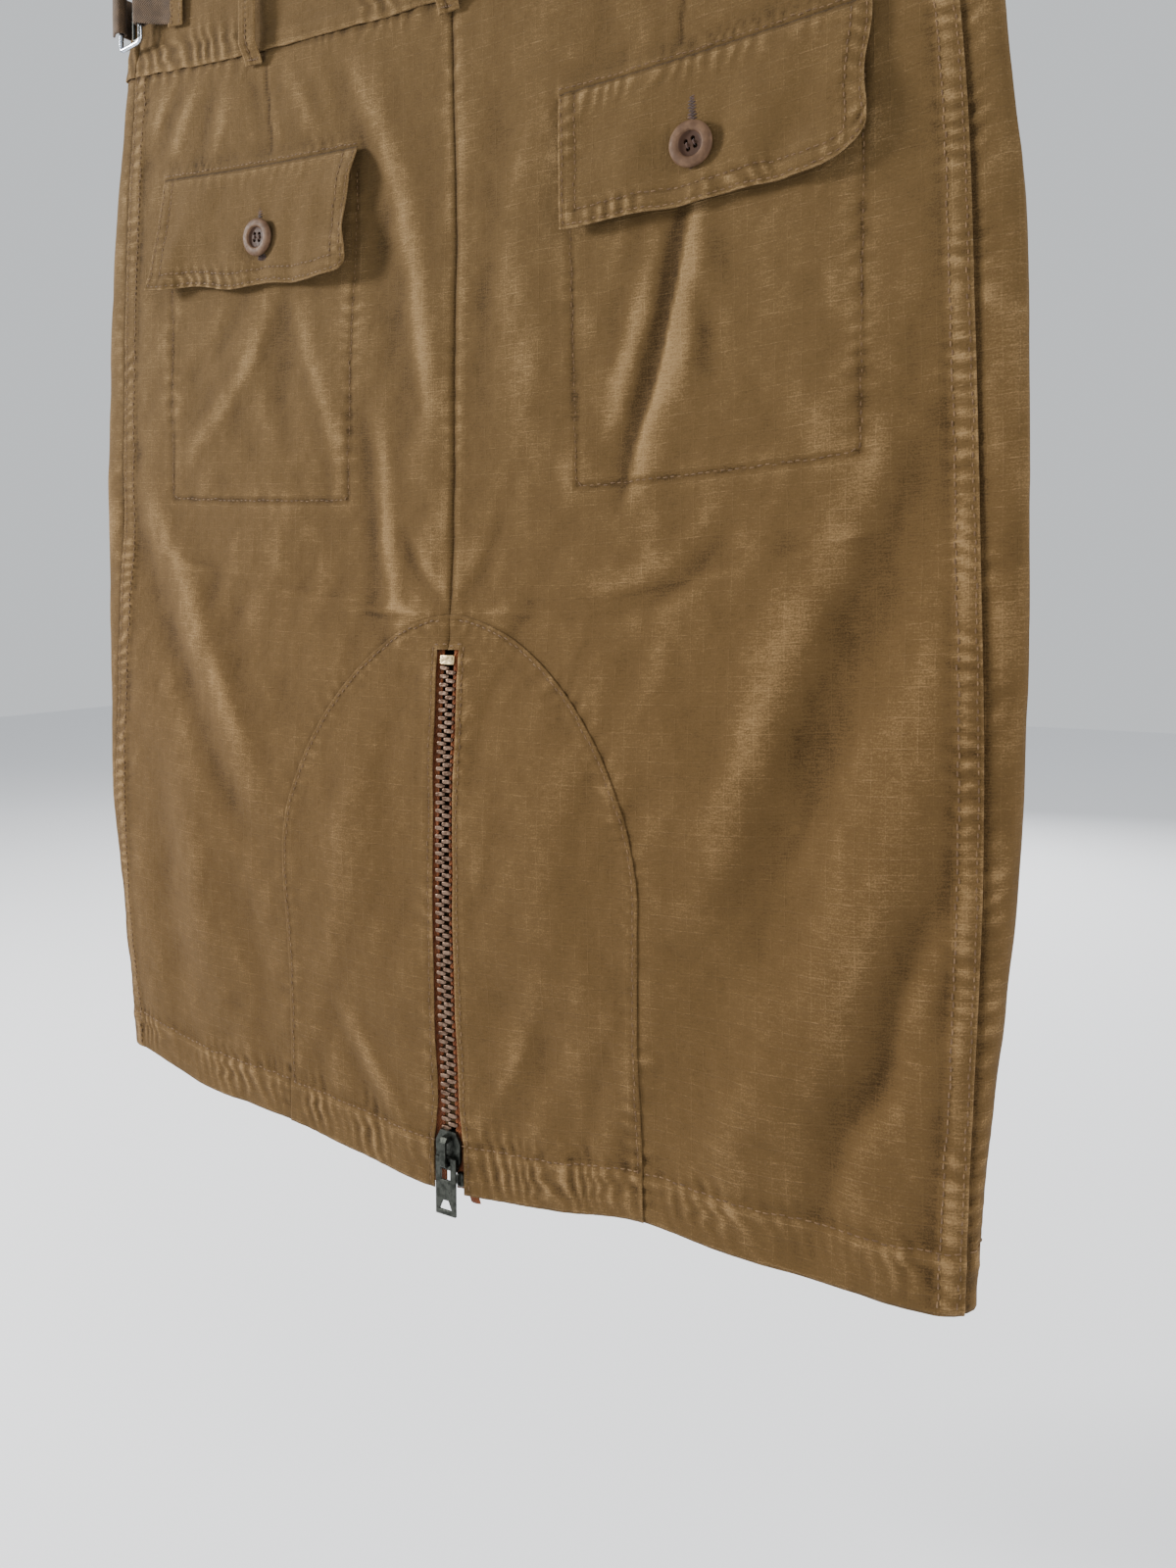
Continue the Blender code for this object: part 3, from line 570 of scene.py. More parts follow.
# ---- finishes ------------------------------------------------------------------------------------
class Finish:
    """A material's node tree, with short ways to add to it."""

    def __init__(self, name, colour, roughness, metallic=0.0):
        self.material = bpy.data.materials.new(name)
        self.material.use_nodes = True
        self.material.diffuse_color = (*colour, 1)
        self.tree = self.material.node_tree
        self.surface = self.tree.nodes["Principled BSDF"]
        self.set("Base Color", (*colour, 1))
        self.set("Roughness", roughness)
        self.set("Metallic", metallic)

    def set(self, socket, value):
        if isinstance(value, bpy.types.NodeSocket):
            self.tree.links.new(value, self.surface.inputs[socket])
        else:
            self.surface.inputs[socket].default_value = value

    def node(self, kind, inputs=None, **settings):
        made = self.tree.nodes.new(kind)
        for key, value in settings.items():
            setattr(made, key, value)
        for key, value in (inputs or {}).items():
            if isinstance(value, bpy.types.NodeSocket):
                self.tree.links.new(value, made.inputs[key])
            else:
                made.inputs[key].default_value = value
        return made

    def math(self, operation, a, b=0.0, clamp=False):
        return self.node("ShaderNodeMath", {0: a, 1: b}, operation=operation, use_clamp=clamp).outputs[0]

    def ramp(self, value, low, high, to_low=0.0, to_high=1.0):
        made = self.node("ShaderNodeMapRange", {"Value": value, "From Min": low, "From Max": high,
                                                "To Min": to_low, "To Max": to_high},
                         interpolation_type="SMOOTHSTEP")
        return made.outputs[0]

    def mix(self, share, a, b, blend="MIX"):
        made = self.node("ShaderNodeMix", {0: share, 6: a, 7: b}, data_type="RGBA", blend_type=blend)
        return made.outputs[2]

    def cloth_place(self, stretch=(1, 1)):
        place_on = self.node("ShaderNodeUVMap", uv_map="cloth").outputs[0]
        return self.node("ShaderNodeVectorMath", {0: place_on, 1: (*stretch, 1)},
                         operation="MULTIPLY").outputs[0]

    def space(self):
        return self.node("ShaderNodeTexCoord").outputs["Object"]

    def grain(self, place_on, scale, detail=2.0, roughness=0.5):
        return self.node("ShaderNodeTexNoise", {"Vector": place_on, "Scale": scale, "Detail": detail,
                                                "Roughness": roughness}).outputs[0]

    def bump(self, height, distance, strength=1.0, under=None):
        inputs = {"Height": height, "Distance": distance, "Strength": strength}
        if under is not None:
            inputs["Normal"] = under
        return self.node("ShaderNodeBump", inputs).outputs[0]


def ripstop(name="ripstop", tint=1.0):
    """Washed cotton ripstop: a fine weave with a raised grid, lighter on ridges and folded edges by fading and
    painted highlight, darker in grooves, creases and seam lines by painted shade.
    """
    dark, middle, light = ((r * tint, g * tint, b * tint, 1) for r, g, b in (
        (0.029, 0.0162, 0.0056), (0.092, 0.0557, 0.0213), (0.24, 0.155, 0.072)))
    f = Finish(name, middle[:3], 0.88)
    at = f.cloth_place()
    parts = f.node("ShaderNodeSeparateXYZ", {0: at})
    wobble = f.math("MULTIPLY", f.math("SUBTRACT", f.grain(at, 60, 1), 0.5), 0.0016)
    across = f.math("ADD", parts.outputs[0], wobble)
    down = f.math("ADD", parts.outputs[1], wobble)
    pitch = 0.0054
    level = f.ramp(f.math("PINGPONG", down, pitch / 2), 0.0, 0.00034, 1, 0)
    upright = f.ramp(f.math("PINGPONG", across, pitch / 2), 0.0, 0.0003, 1, 0)
    broken = f.ramp(f.grain(f.cloth_place((0.3, 1)), 160, 3), 0.15, 0.55, 0.45)
    broken_up = f.ramp(f.grain(f.cloth_place((1, 0.3)), 160, 3), 0.28, 0.62, 0.25)
    lines = f.math("MAXIMUM", f.math("MULTIPLY", level, broken),
                   f.math("MULTIPLY", f.math("MULTIPLY", upright, broken_up), 0.75))
    wear_and_shading = f.node("ShaderNodeAttribute", attribute_name="wear_and_shading").outputs["Fac"]
    mottle = f.grain(at, 26, 4, 0.6)
    speckle = f.math("ADD", f.math("MULTIPLY", f.grain(at, 1500, 2, 0.7), 0.6),
                     f.math("MULTIPLY", f.grain(f.cloth_place((0.22, 1.5)), 1100, 2, 0.6), 0.4))
    fade_and_shading = f.math("ADD", f.math("MULTIPLY", f.math("SUBTRACT", mottle, 0.5), 0.3),
                   f.math("MULTIPLY", f.math("SUBTRACT", speckle, 0.5), 1.1))
    # Painted light: wear_and_shading lightens raised places and folded edges, as fading with a painted highlight,
    # and darkens grooves, creases, seam lines and flap tops, as painted shade.
    fade_and_shading = f.math("ADD", fade_and_shading, f.math("MULTIPLY", f.math("SUBTRACT", wear_and_shading, 0.5), 0.62))
    fade_and_shading = f.math("ADD", fade_and_shading, f.math("MULTIPLY", lines, 0.115))
    fade_and_shading = f.math("ADD", fade_and_shading, 0.5, clamp=True)
    colour = f.mix(f.ramp(fade_and_shading, 0.0, 0.5), dark, middle)
    colour = f.mix(f.ramp(fade_and_shading, 0.5, 1.0), colour, light)
    warm = f.ramp(parts.outputs[1], 0.1, 0.34, 0.0, 0.75)
    colour = f.mix(warm, colour, (1.0, 0.945, 0.89, 1), "MULTIPLY")
    f.set("Base Color", colour)
    warp = f.math("SINE", f.math("MULTIPLY", parts.outputs[0], 2 * math.pi / 0.00062))
    weft = f.math("SINE", f.math("MULTIPLY", parts.outputs[1], 2 * math.pi / 0.00058))
    weave = f.math("MULTIPLY", warp, weft)
    crumple = f.bump(f.grain(at, 170, 5, 0.62), 0.0016, 0.55)
    thread = f.bump(f.math("ADD", f.math("MULTIPLY", lines, 1.2), f.math("MULTIPLY", weave, 0.35)),
                    0.00016, 0.7, crumple)
    f.set("Normal", f.bump(speckle, 0.0003, 0.75, thread))
    f.set("Sheen Weight", 0.03)
    f.set("Sheen Roughness", 0.5)
    f.set("Specular IOR Level", 0.06)
    return f.material


def woven(name, colour, pale, pitch=0.0013, slant=1.0):
    """A narrow woven tape or strap, with slanting ribs."""
    f = Finish(name, colour, 0.85)
    at = f.cloth_place()
    parts = f.node("ShaderNodeSeparateXYZ", {0: at})
    along = f.math("ADD", parts.outputs[0],
                   f.math("MULTIPLY", f.math("PINGPONG", parts.outputs[1], 0.0055), slant))
    ribs = f.math("SINE", f.math("MULTIPLY", along, 2 * math.pi / pitch))
    worn = f.math("ADD", f.math("MULTIPLY", f.grain(at, 160, 4, 0.6), 0.8),
                  f.math("MULTIPLY", f.grain(at, 1800, 2), 0.5))
    worn = f.math("ADD", worn, f.math("MULTIPLY", ribs, 0.08))
    f.set("Base Color", f.mix(f.ramp(worn, 0.4, 0.95), (*colour, 1), (*pale, 1)))
    f.set("Normal", f.bump(ribs, 0.00014, 0.6, f.bump(f.grain(at, 1500, 2), 0.0002, 0.5)))
    f.set("Sheen Weight", 0.1)
    f.set("Specular IOR Level", 0.2)
    return f.material


def metal(name, colour, dull, roughness, scratch=0.5):
    """Plated metal: bright where it is rubbed, dull and speckled elsewhere."""
    f = Finish(name, colour, roughness, 1.0)
    at = f.space()
    tarnish = f.grain(at, 420, 4, 0.65)
    f.set("Base Color", f.mix(f.ramp(tarnish, 0.4, 0.68), (*colour, 1), (*dull, 1)))
    f.set("Roughness", f.ramp(f.grain(at, 900, 3), 0.3, 0.7, roughness * 0.75, roughness * 1.4))
    f.set("Normal", f.bump(f.grain(at, 2400, 3), 0.00008, scratch))
    return f.material


def thread(name, colour, pale):
    f = Finish(name, colour, 0.8)
    at = f.space()
    f.set("Base Color", f.mix(f.ramp(f.grain(at, 350, 3), 0.35, 0.7), (*colour, 1), (*pale, 1)))
    f.set("Normal", f.bump(f.grain(at, 5200, 2), 0.00012, 0.8))
    f.set("Sheen Weight", 0.15)
    f.set("Specular IOR Level", 0.25)
    return f.material


def horn(name):
    """A moulded button with a pinkish-brown rim and a darker well."""
    f = Finish(name, (0.36, 0.2, 0.135), 0.45)
    at = f.space()
    swirl = f.grain(at, 260, 4, 0.6)
    wear_and_shading = f.node("ShaderNodeAttribute", attribute_name="wear_and_shading").outputs["Fac"]
    tone = f.mix(f.ramp(swirl, 0.35, 0.7), (0.075, 0.041, 0.023, 1), (0.125, 0.072, 0.041, 1))
    # The well, where wear_and_shading is 0, is darker than the rim: the button's own darker tone with painted shade
    # in the hollow.
    f.set("Base Color", f.mix(f.ramp(wear_and_shading, 0.35, 0.65), (0.045, 0.022, 0.013, 1), tone))
    f.set("Roughness", f.ramp(f.grain(at, 700, 3), 0.3, 0.7, 0.5, 0.68))
    f.set("Normal", f.bump(f.grain(at, 1300, 3), 0.0001, 0.5))
    f.set("Specular IOR Level", 0.14)
    return f.material


CLOTH_LOOK = ripstop()
LOOP_LOOK = ripstop("ripstop_loops", 1.04)
TAN_THREAD = thread("tan_thread", (0.085, 0.045, 0.018), (0.17, 0.098, 0.042))
DARK_THREAD = thread("dark_thread", (0.034, 0.017, 0.012), (0.08, 0.041, 0.03))
STRAP_LOOK = woven("strap_twill", (0.040, 0.024, 0.012), (0.095, 0.057, 0.030))
TAPE_LOOK = woven("zip_tape", (0.105, 0.026, 0.008), (0.24, 0.075, 0.022), 0.0011, 0.6)
TEETH_LOOK = metal("bronze_teeth", (0.18, 0.118, 0.083), (0.07, 0.041, 0.027), 0.42)
GOLD_LOOK = metal("pale_gold", (0.60, 0.47, 0.26), (0.36, 0.26, 0.13), 0.34)
GUN_LOOK = metal("gun_metal", (0.055, 0.058, 0.05), (0.022, 0.024, 0.02), 0.38)
# The steel's blue tint is a painted reflection of the sky; steel itself is grey.
STEEL_LOOK = metal("bright_steel", (0.55, 0.6, 0.68), (0.3, 0.33, 0.38), 0.22)
BUTTON_LOOK = horn("button")


# ---- panels --------------------------------------------------------------------------------------
SIDES = (("left", -1), ("right", 1))


FRONT_CALM = 0.55  # how much smoother the front panels lie than the back


def panel_heights(kind, girth, drop, side):
    extra = {"back": back_height, "dome": dome_height, "front": front_height}[kind]
    past_side = np.clip((np.abs(girth) - side_girth(drop)) / 40, 0, 1)
    return folds(girth, drop) * (1 - FRONT_CALM * past_side) + extra(girth, drop, side)


def add_back(hand, side):
    arch = np.array(arch_line(1, UNDER))
    above = sampled([(BUTT, GAP), (BUTT, DOME_TOP + UNDER)], 165)
    inner = np.concatenate([above[:-1], sampled(arch[arch[:, 1] <= HEM + 0.1], 185)])
    inner[:, 1] = np.minimum(inner[:, 1], HEM)
    outer = sampled([(float(side_girth(d)) + OVER, d) for d in np.linspace(GAP, HEM, 40)], len(inner))
    girth, drop = ruled(inner, outer, 14, 9, 92)
    girth = girth * side
    height = panel_heights("back", girth, drop, side)
    edge = 0.16 * np.exp(-(((np.abs(girth) - side_girth(drop)) / 1.2) ** 2))
    edge += 0.14 * np.exp(-(((HEM - drop) / 1.4) ** 2))
    # Painted shade: the rest darken the colour along the centre back seam, the darts, just below the waist seam,
    # under the folded edge above each flap and beside the gusset seam.
    edge -= 0.4 * np.exp(-((girth / 0.8) ** 2)) * (drop < DOME_TOP)
    dart = along_line(girth, drop, [(side * 112, 0), (side * 108, FLAP_TOP - 6)])[0]
    edge -= 0.45 * np.exp(-((dart / 0.7) ** 2)) * (drop < FLAP_TOP - 6)
    edge -= 0.5 * np.exp(-(((drop - 2.6) / 1.2) ** 2))
    first = FLAP_INNER if side > 0 else -FLAP_INNER - FLAP_WIDTH
    held = (girth > first) * (girth < first + FLAP_WIDTH)
    over = FLAP_TOP - drop
    edge -= 0.5 * held * (np.exp(-(((over - 0.3) / 0.9) ** 2)) + 0.8 * np.exp(-(((over - 2.5) / 2.6) ** 2)))
    beside = np.abs(along_line(girth, drop, arch_line(side))[0])
    edge -= 0.12 * np.exp(-(((beside - 0.6) / 0.8) ** 2)) * (drop > DOME_TOP - 12)
    name = "back_" + hand
    made = shell(name + "_cloth", girth, drop, height, CLOTH_LOOK, "ripstop", [name], edge=edge)
    return hang(made)


def add_dome(hand, side):
    arch = np.array(arch_line(1, -OVER))
    outer = sampled(arch[arch[:, 1] <= HEM + 0.1], 190)
    outer[:, 1] = np.minimum(outer[:, 1], HEM)
    corner = sampled([(BUTT, DOME_TOP - OVER), (BUTT, ZIP_TOP)], 13)
    top = sampled([(BUTT, ZIP_TOP), (ZIP_HALF_OPENING, ZIP_TOP)], 5)
    rows = np.linspace(ZIP_TOP, HEM, 60)
    opening = sampled(np.stack([zip_edge(rows), rows], -1), 190 - 13 - 3)
    inner = np.concatenate([corner[:-1], top[:-1], opening[:190 - 16]])
    girth, drop = ruled(inner, outer, 12, 8, 48)
    girth = girth * side
    height = panel_heights("dome", girth, drop, side)
    edge = 0.22 * np.exp(-(((HEM - drop) / 1.4) ** 2))
    edge += 0.2 * np.exp(-(((np.abs(girth) - zip_edge(drop)) / 1.0) ** 2)) * (drop > ZIP_TOP)
    name = "dome_" + hand
    made = shell(name + "_cloth", girth, drop, height, CLOTH_LOOK, "ripstop", [name], edge=edge)
    return hang(made)


def add_front(hand, side):
    rows = 230
    inner = sampled([(float(side_girth(d)) - UNDER, d) for d in np.linspace(GAP, HEM, 40)], rows)
    outer = sampled([(float(half_girth(d)) - BUTT, d) for d in np.linspace(GAP, HEM, 40)], rows)
    girth, drop = ruled(inner, outer, 14, 7, 70)
    girth = girth * side
    height = panel_heights("front", girth, drop, side)
    name = "front_" + hand
    # Painted shade: the colour is darkened beside the side seam under the back panel's lapping edge, just below the
    # waist seam and along the centre front seam.
    edge = -0.5 * np.exp(-(((np.abs(girth) - side_girth(drop) - 1.2) / 1.4) ** 2))
    edge -= 0.5 * np.exp(-(((drop - 2.6) / 1.2) ** 2))
    edge -= 0.25 * np.exp(-(((half_girth(drop) - np.abs(girth)) / 0.9) ** 2))
    made = shell(name + "_cloth", girth, drop, height, CLOTH_LOOK, "ripstop", [name], edge=edge)
    return hang(made)


# ---- waistband -----------------------------------------------------------------------------------
BAND_BASE = 0.35


def add_band(name, first, last, lap=0.0):
    """A stretch of the waistband: the back from side seam to side seam, a front from its side seam to past the
    centre front. first is not used; last gives only the side.
    """
    rows = np.concatenate([[0, 0.4], np.linspace(1.2, BAND - 1.2, 32), [BAND - 0.4, BAND]]) - BAND
    rows[-1] = 2.0  # the lower fold covers the panels' top edge
    rows[-2] = 1.5
    columns = int(abs(last - first) / 1.35)
    share = np.linspace(0, 1, columns)
    side = 1 if last > 0 else -1
    drop = np.repeat(rows[:, None], columns, 1)
    if name == "waistband_back":
        girth = (2 * share - 1) * (side_girth(drop) - GAP)
    else:
        start, end = side_girth(drop) + GAP, half_girth(drop) + lap - GAP
        girth = side * (start + (end - start) * share)
    over = LAYER_STEP * 2 * np.clip((np.abs(girth) - half_girth(drop) + 24) / 18, 0, 1) if lap else 0
    height = band_height(girth, drop) + over
    drop = drop + (1.1 * noise(girth / 34, 0.3, 9) + 0.4 * noise(girth / 9, 0.6, 9)) * (1 + drop / BAND)
    edge = 0.18 * np.exp(-(((drop - 2) / 1.3) ** 2)) + 0.18 * np.exp(-(((drop + BAND) / 1.3) ** 2))
    made = shell(name + "_cloth", girth, drop, height, CLOTH_LOOK, "ripstop", [name], BAND_BASE, 1.1,
                 edge)
    return hang(made)


# ---- pockets -------------------------------------------------------------------------------------
FLAP_WALL = 1.3


def flap_place(across, down, side):
    """Girth, drop and height of a place on a flap, from shares across and down it."""
    left = side < 0
    first = FLAP_INNER if not left else -FLAP_INNER - FLAP_WIDTH
    from_cut = FLAP_WIDTH * (1 - across)
    chamfer = (FLAP_CHAMFER * 0.35, 6.0) if left else (FLAP_CHAMFER, FLAP_CHAMFER_RISE)
    cut = chamfer[1] * (1 - np.sqrt(1 - np.clip(1 - from_cut / chamfer[0], 0, 1) ** 2 * 0.98))
    drop = FLAP_TOP + down * (FLAP_HEIGHT - cut + 1.6 * noise(across * 3, 0.2, 200 + side))
    low_first, low_last = (-6.5, -4.0) if left else (2.0, -2.0)
    girth = first + FLAP_WIDTH * across + down * (low_first * (1 - across) + low_last * across)
    ends = np.abs(2 * across - 1)
    near_last = np.exp(-(((1 - across) * FLAP_WIDTH / 16) ** 2))
    near_first = np.exp(-((across * FLAP_WIDTH / 14) ** 2))
    girth = girth + (2.0 if left else 0.9) * near_last * np.sin(down * 7.5 + 0.6)
    drop = drop + (1.2 if left else 0.7) * down * np.sin(across * 17 + 0.5) * (1 - 0.6 * across)
    lift = 1.9 * down + (3.6 if left else 2.4) * down**1.2 * ends**2.2
    lift += down * (1.7 * noise(across * 6, down * 2, 210 + side) + 1.2 * noise(across * 13, down * 4, 212))
    lift += 0.9 * np.clip(down * 6, 0, 1) * noise(across * 11 + down * 1.2, down * 1.4, 214 + side)
    if left:
        lift += 2.8 * near_last * (0.7 + 0.7 * np.sin(down * 9.0 + 0.3)) * np.clip(down * 4, 0, 1)
        lift += 3.6 * near_first * down**3
    button = np.hypot(girth - side * BUTTON_GIRTH, drop - BUTTON_DROP)
    lift -= 0.9 * np.exp(-((button / 13) ** 2))
    base = 1.2 / 2 + 0.3 + 0.75 + 0.1
    return girth, drop, base + np.maximum(lift, -0.1)


def flap_height(girth, drop, across, down, side):
    """Stitched edges of a flap: twin rows along the sides and the bottom, with puckers."""
    h = np.zeros(np.shape(girth))
    for off, along, seed in ((across * FLAP_WIDTH, drop, 1), ((1 - across) * FLAP_WIDTH, drop, 2),
                             ((1 - down) * FLAP_HEIGHT, girth, 3)):
        h += puckers(off, along, 4.0, 6.0, 6.8, 0.95, 220 + seed + side)
        h += groove(off, 1.7, 0.8, 0.32) + groove(off, 7.6, 0.8, 0.32)
    top = down * FLAP_HEIGHT
    h += puckers(top, girth, 4, 5, 7.0, 0.6, 230 + side) - 0.5 * np.exp(-((top / 1.6) ** 2))
    h += 0.35 * noise(girth / 21, drop / 17, 240 + side) + 0.1 * noise(girth / 8, drop / 8, 242 + side)
    return h


def add_flap(hand, side):
    across = np.concatenate([[0, 0.003], np.linspace(0.009, 0.991, 104), [0.997, 1]])
    down = np.concatenate([[0, 0.008], np.linspace(0.02, 0.98, 46), [0.992, 1]])
    across, down = np.meshgrid(across, down)
    girth, drop, lift = flap_place(across, down, side)
    height = flap_height(girth, drop, across, down, side)
    rim = np.minimum(np.minimum(across, 1 - across) * FLAP_WIDTH, (1 - down) * FLAP_HEIGHT)
    edge = 0.3 * np.exp(-((rim / 1.2) ** 2))
    # Painted shade: the flap's top edge is darkened where it goes in under the panel's folded edge.
    edge -= 0.55 * np.exp(-((down * FLAP_HEIGHT / 1.0) ** 2))
    name = "flap_" + hand
    made = shell(name + "_cloth", girth, drop, height, CLOTH_LOOK, "ripstop", [name], lift, FLAP_WALL,
                 edge)
    return hang(made)


def add_bag(hand, side):
    share = np.linspace(0, 1, 40)
    drop, across = np.meshgrid(np.linspace(FLAP_TOP + 5, BAG_BOTTOM, 52), share, indexing="ij")
    girth = side * (BAG_INNER + (BAG_OUTER - BAG_INNER) * across)
    height = folds(girth, drop) + 0.25 * noise(girth / 9, drop / 11, 250)
    name = "pocket_" + hand
    made = shell(name + "_cloth", girth, drop, height, CLOTH_LOOK, "ripstop", [name], -1.6, 0.6)
    return hang(made)


# ---- stitching -----------------------------------------------------------------------------------
def stitches(line, surface, base, pitch=3.0, length=2.3, radius=0.27, seed=0, lean=0.0):
    """Small capsules of thread along a line of places. surface(girth, drop) is the cloth's height."""
    line = np.asarray(line, float)
    far = np.concatenate([[0], np.cumsum(np.hypot(*np.diff(line, axis=0).T))])
    count = max(2, int(far[-1] / pitch))
    rng = np.random.default_rng(300 + seed)
    middle = (np.arange(count) + 0.5) * far[-1] / count + rng.uniform(-0.2, 0.2, count)
    shares = np.array([-0.5, -0.4, -0.15, 0.15, 0.4, 0.5])
    sizes = np.array([0.0, 0.8, 1.0, 1.0, 0.8, 0.0])
    sinks = np.array([-0.32, -0.1, 0.04, 0.04, -0.1, -0.32])
    at = middle[:, None] + shares * length * rng.uniform(0.88, 1.08, (count, 1))
    girth, drop = (np.interp(at, far, line[:, k]) for k in (0, 1))
    step = np.stack([np.gradient(np.interp(at[:, 2], far, line[:, k])) for k in (0, 1)], -1)
    step /= np.maximum(np.hypot(*step.T)[:, None], 1e-6)
    aside = (rng.normal(0, 0.1, count)[:, None] + lean * shares) * length
    girth, drop = girth - aside * step[:, 1:], drop + aside * step[:, :1]
    out = surface(girth, drop) + base + sinks
    middle_line = place(girth, drop, out)
    normal = place(girth, drop, out + 1) - middle_line
    normal /= np.linalg.norm(normal, axis=-1, keepdims=True)
    tangent = middle_line[:, -1:] - middle_line[:, :1]
    tangent /= np.linalg.norm(tangent, axis=-1, keepdims=True)
    aside = np.cross(tangent, normal)
    return tubes(middle_line, aside, normal, sizes * radius * MM)


def tubes(lines, aside, normal, radii, around=6):
    """Closed tubes along lines of points, whose first and last radius is nothing."""
    count, steps = lines.shape[:2]
    angles = np.arange(around) * 2 * math.pi / around
    ring = (lines[:, 1:-1, None] + radii[1:-1, None, None]
            * (aside[:, 1:-1, None] * np.cos(angles)[:, None] + normal[:, 1:-1, None] * np.sin(angles)[:, None]))
    verts = np.concatenate([lines[:, :1], ring.reshape(count, -1, 3), lines[:, -1:]], 1)
    each = verts.shape[1]
    k = np.arange(around)
    after = (k + 1) % around
    faces = [np.stack([np.zeros_like(k), 1 + after, 1 + k], -1)]
    for row in range(steps - 3):
        a, b = 1 + row * around, 1 + (row + 1) * around
        faces += [np.stack([a + k, a + after, b + after], -1), np.stack([a + k, b + after, b + k], -1)]
    last = 1 + (steps - 3) * around
    faces.append(np.stack([last + k, last + after, np.full_like(k, each - 1)], -1))
    faces = np.concatenate(faces)
    faces = (faces[None] + (np.arange(count) * each)[:, None, None]).reshape(-1, 3)
    return verts.reshape(-1, 3), faces


def joined(name, parts, finish, slot, nodes=(), body=ROOT):
    """One object from several lots of vertices and triangles."""
    start = 0
    verts, faces = [], []
    for v, f in parts:
        verts.append(v)
        faces.append(f + start)
        start += len(v)
    return new_object(name, np.concatenate(verts), np.concatenate(faces), finish, slot, nodes, body)


def add_stitching():
    top = CLOTH_WALL / 2 + 0.1
    tan = []
    for hand, side in SIDES:
        def back(g, d, side=side):
            return panel_heights("back", g, d, side)

        def dome(g, d, side=side):
            return panel_heights("dome", g, d, side)

        def front(g, d, side=side):
            return panel_heights("front", g, d, side)

        drops = np.linspace(3, HEM - 2, 90)
        for row, inset in enumerate(SIDE_ROWS):
            line = [(side * (float(side_girth(d)) - inset), d) for d in drops]
            tan.append(stitches(line, back, top, seed=10 * row + side))
        seam_at = float(dome_edge(HEM_ROW))
        side_at = float(side_girth(HEM_ROW))
        ends = [(side * (seam_at + 1), HEM_ROW), (side * (side_at - 1), HEM_ROW)]
        tan.append(stitches(ends, back, top, seed=31 + side))
        ends = [(side * (side_at + 1), HEM_ROW), (side * (float(half_girth(HEM_ROW)) - 1), HEM_ROW)]
        tan.append(stitches(ends, front, top, seed=34 + side))
        ends = [(side * (ZIP_HALF_OPENING + 1), HEM_ROW), (side * (seam_at - 1), HEM_ROW)]
        tan.append(stitches(ends, dome, top, seed=37 + side))
        line = [(g, d) for g, d in arch_line(side, 1.7) if d < HEM - 1]
        tan.append(stitches(line, dome, top, seed=41 + side))
        zip_row = side * (ZIP_HALF_OPENING + 2.2)
        line = [(side * (float(zip_edge(d)) + 2.2), d) for d in np.linspace(ZIP_TOP - 2, HEM - 2, 60)]
        tan.append(stitches(line, dome, top, seed=44 + side))
        tan.append(stitches([(0, ZIP_TOP - 2.2), (zip_row, ZIP_TOP - 2.2)], dome, top, seed=47 + side))
        line = [p for p in sampled(bag_line(side), 80) if p[1] > FLAP_TOP + 8]
        tan.append(stitches(line, back, top, radius=0.22, seed=51 + side))
        first = FLAP_INNER if side > 0 else -FLAP_INNER - FLAP_WIDTH
        line = [(first, FLAP_TOP - FLAP_ROW), (first + FLAP_WIDTH, FLAP_TOP - FLAP_ROW)]
        tan.append(stitches(line, back, top, pitch=2.7, seed=54 + side))
        tan += flap_stitches(side)
    return joined("stitching", tan, TAN_THREAD, "stitching")


def flap_stitches(side):
    """Two rows round a flap's sides and bottom."""
    parts = []
    for row, inset in enumerate((1.7, 7.6)):
        a, b = inset / FLAP_WIDTH, 1 - inset / FLAP_HEIGHT
        route = sampled([(a, 0.03), (a, b), (1 - a, b), (1 - a, 0.03)], 240)
        girth, drop, lift = flap_place(route[:, 0], route[:, 1], side)
        height = flap_height(girth, drop, route[:, 0], route[:, 1], side) + lift
        line = np.stack([girth, drop], -1)
        far = np.concatenate([[0], np.cumsum(np.hypot(*np.diff(line, axis=0).T))])

        def surface(g, d, line=line, height=height):
            near = np.argmin((g[..., None] - line[:, 0]) ** 2 + (d[..., None] - line[:, 1]) ** 2, -1)
            return height[near]

        parts.append(stitches(line, surface, FLAP_WALL / 2 + 0.1, seed=70 + 5 * row + side))
        assert far[-1] > 0
    return parts


# ---- small hard pieces ---------------------------------------------------------------------------
def frames(girth, drop, out, reach=1.0):
    """Places on the skirt with unit axes: to the wearer's right, up and outwards."""
    at = place(girth, drop, out)
    right = place(np.add(girth, reach), drop, out) - place(np.subtract(girth, reach), drop, out)
    up = place(girth, np.subtract(drop, reach), out) - place(girth, np.add(drop, reach), out)
    right /= np.linalg.norm(right, axis=-1, keepdims=True)
    outward = np.cross(right, up)
    outward /= np.linalg.norm(outward, axis=-1, keepdims=True)
    return at, right, np.cross(outward, right), outward


def set_out(local, at, right, up, outward):
    """Local millimetre points, given to the right, up and outwards, on each of several frames."""
    return (at[:, None] + MM * (local[None, :, :1] * right[:, None] + local[None, :, 1:2] * up[:, None]
                                + local[None, :, 2:3] * outward[:, None]))


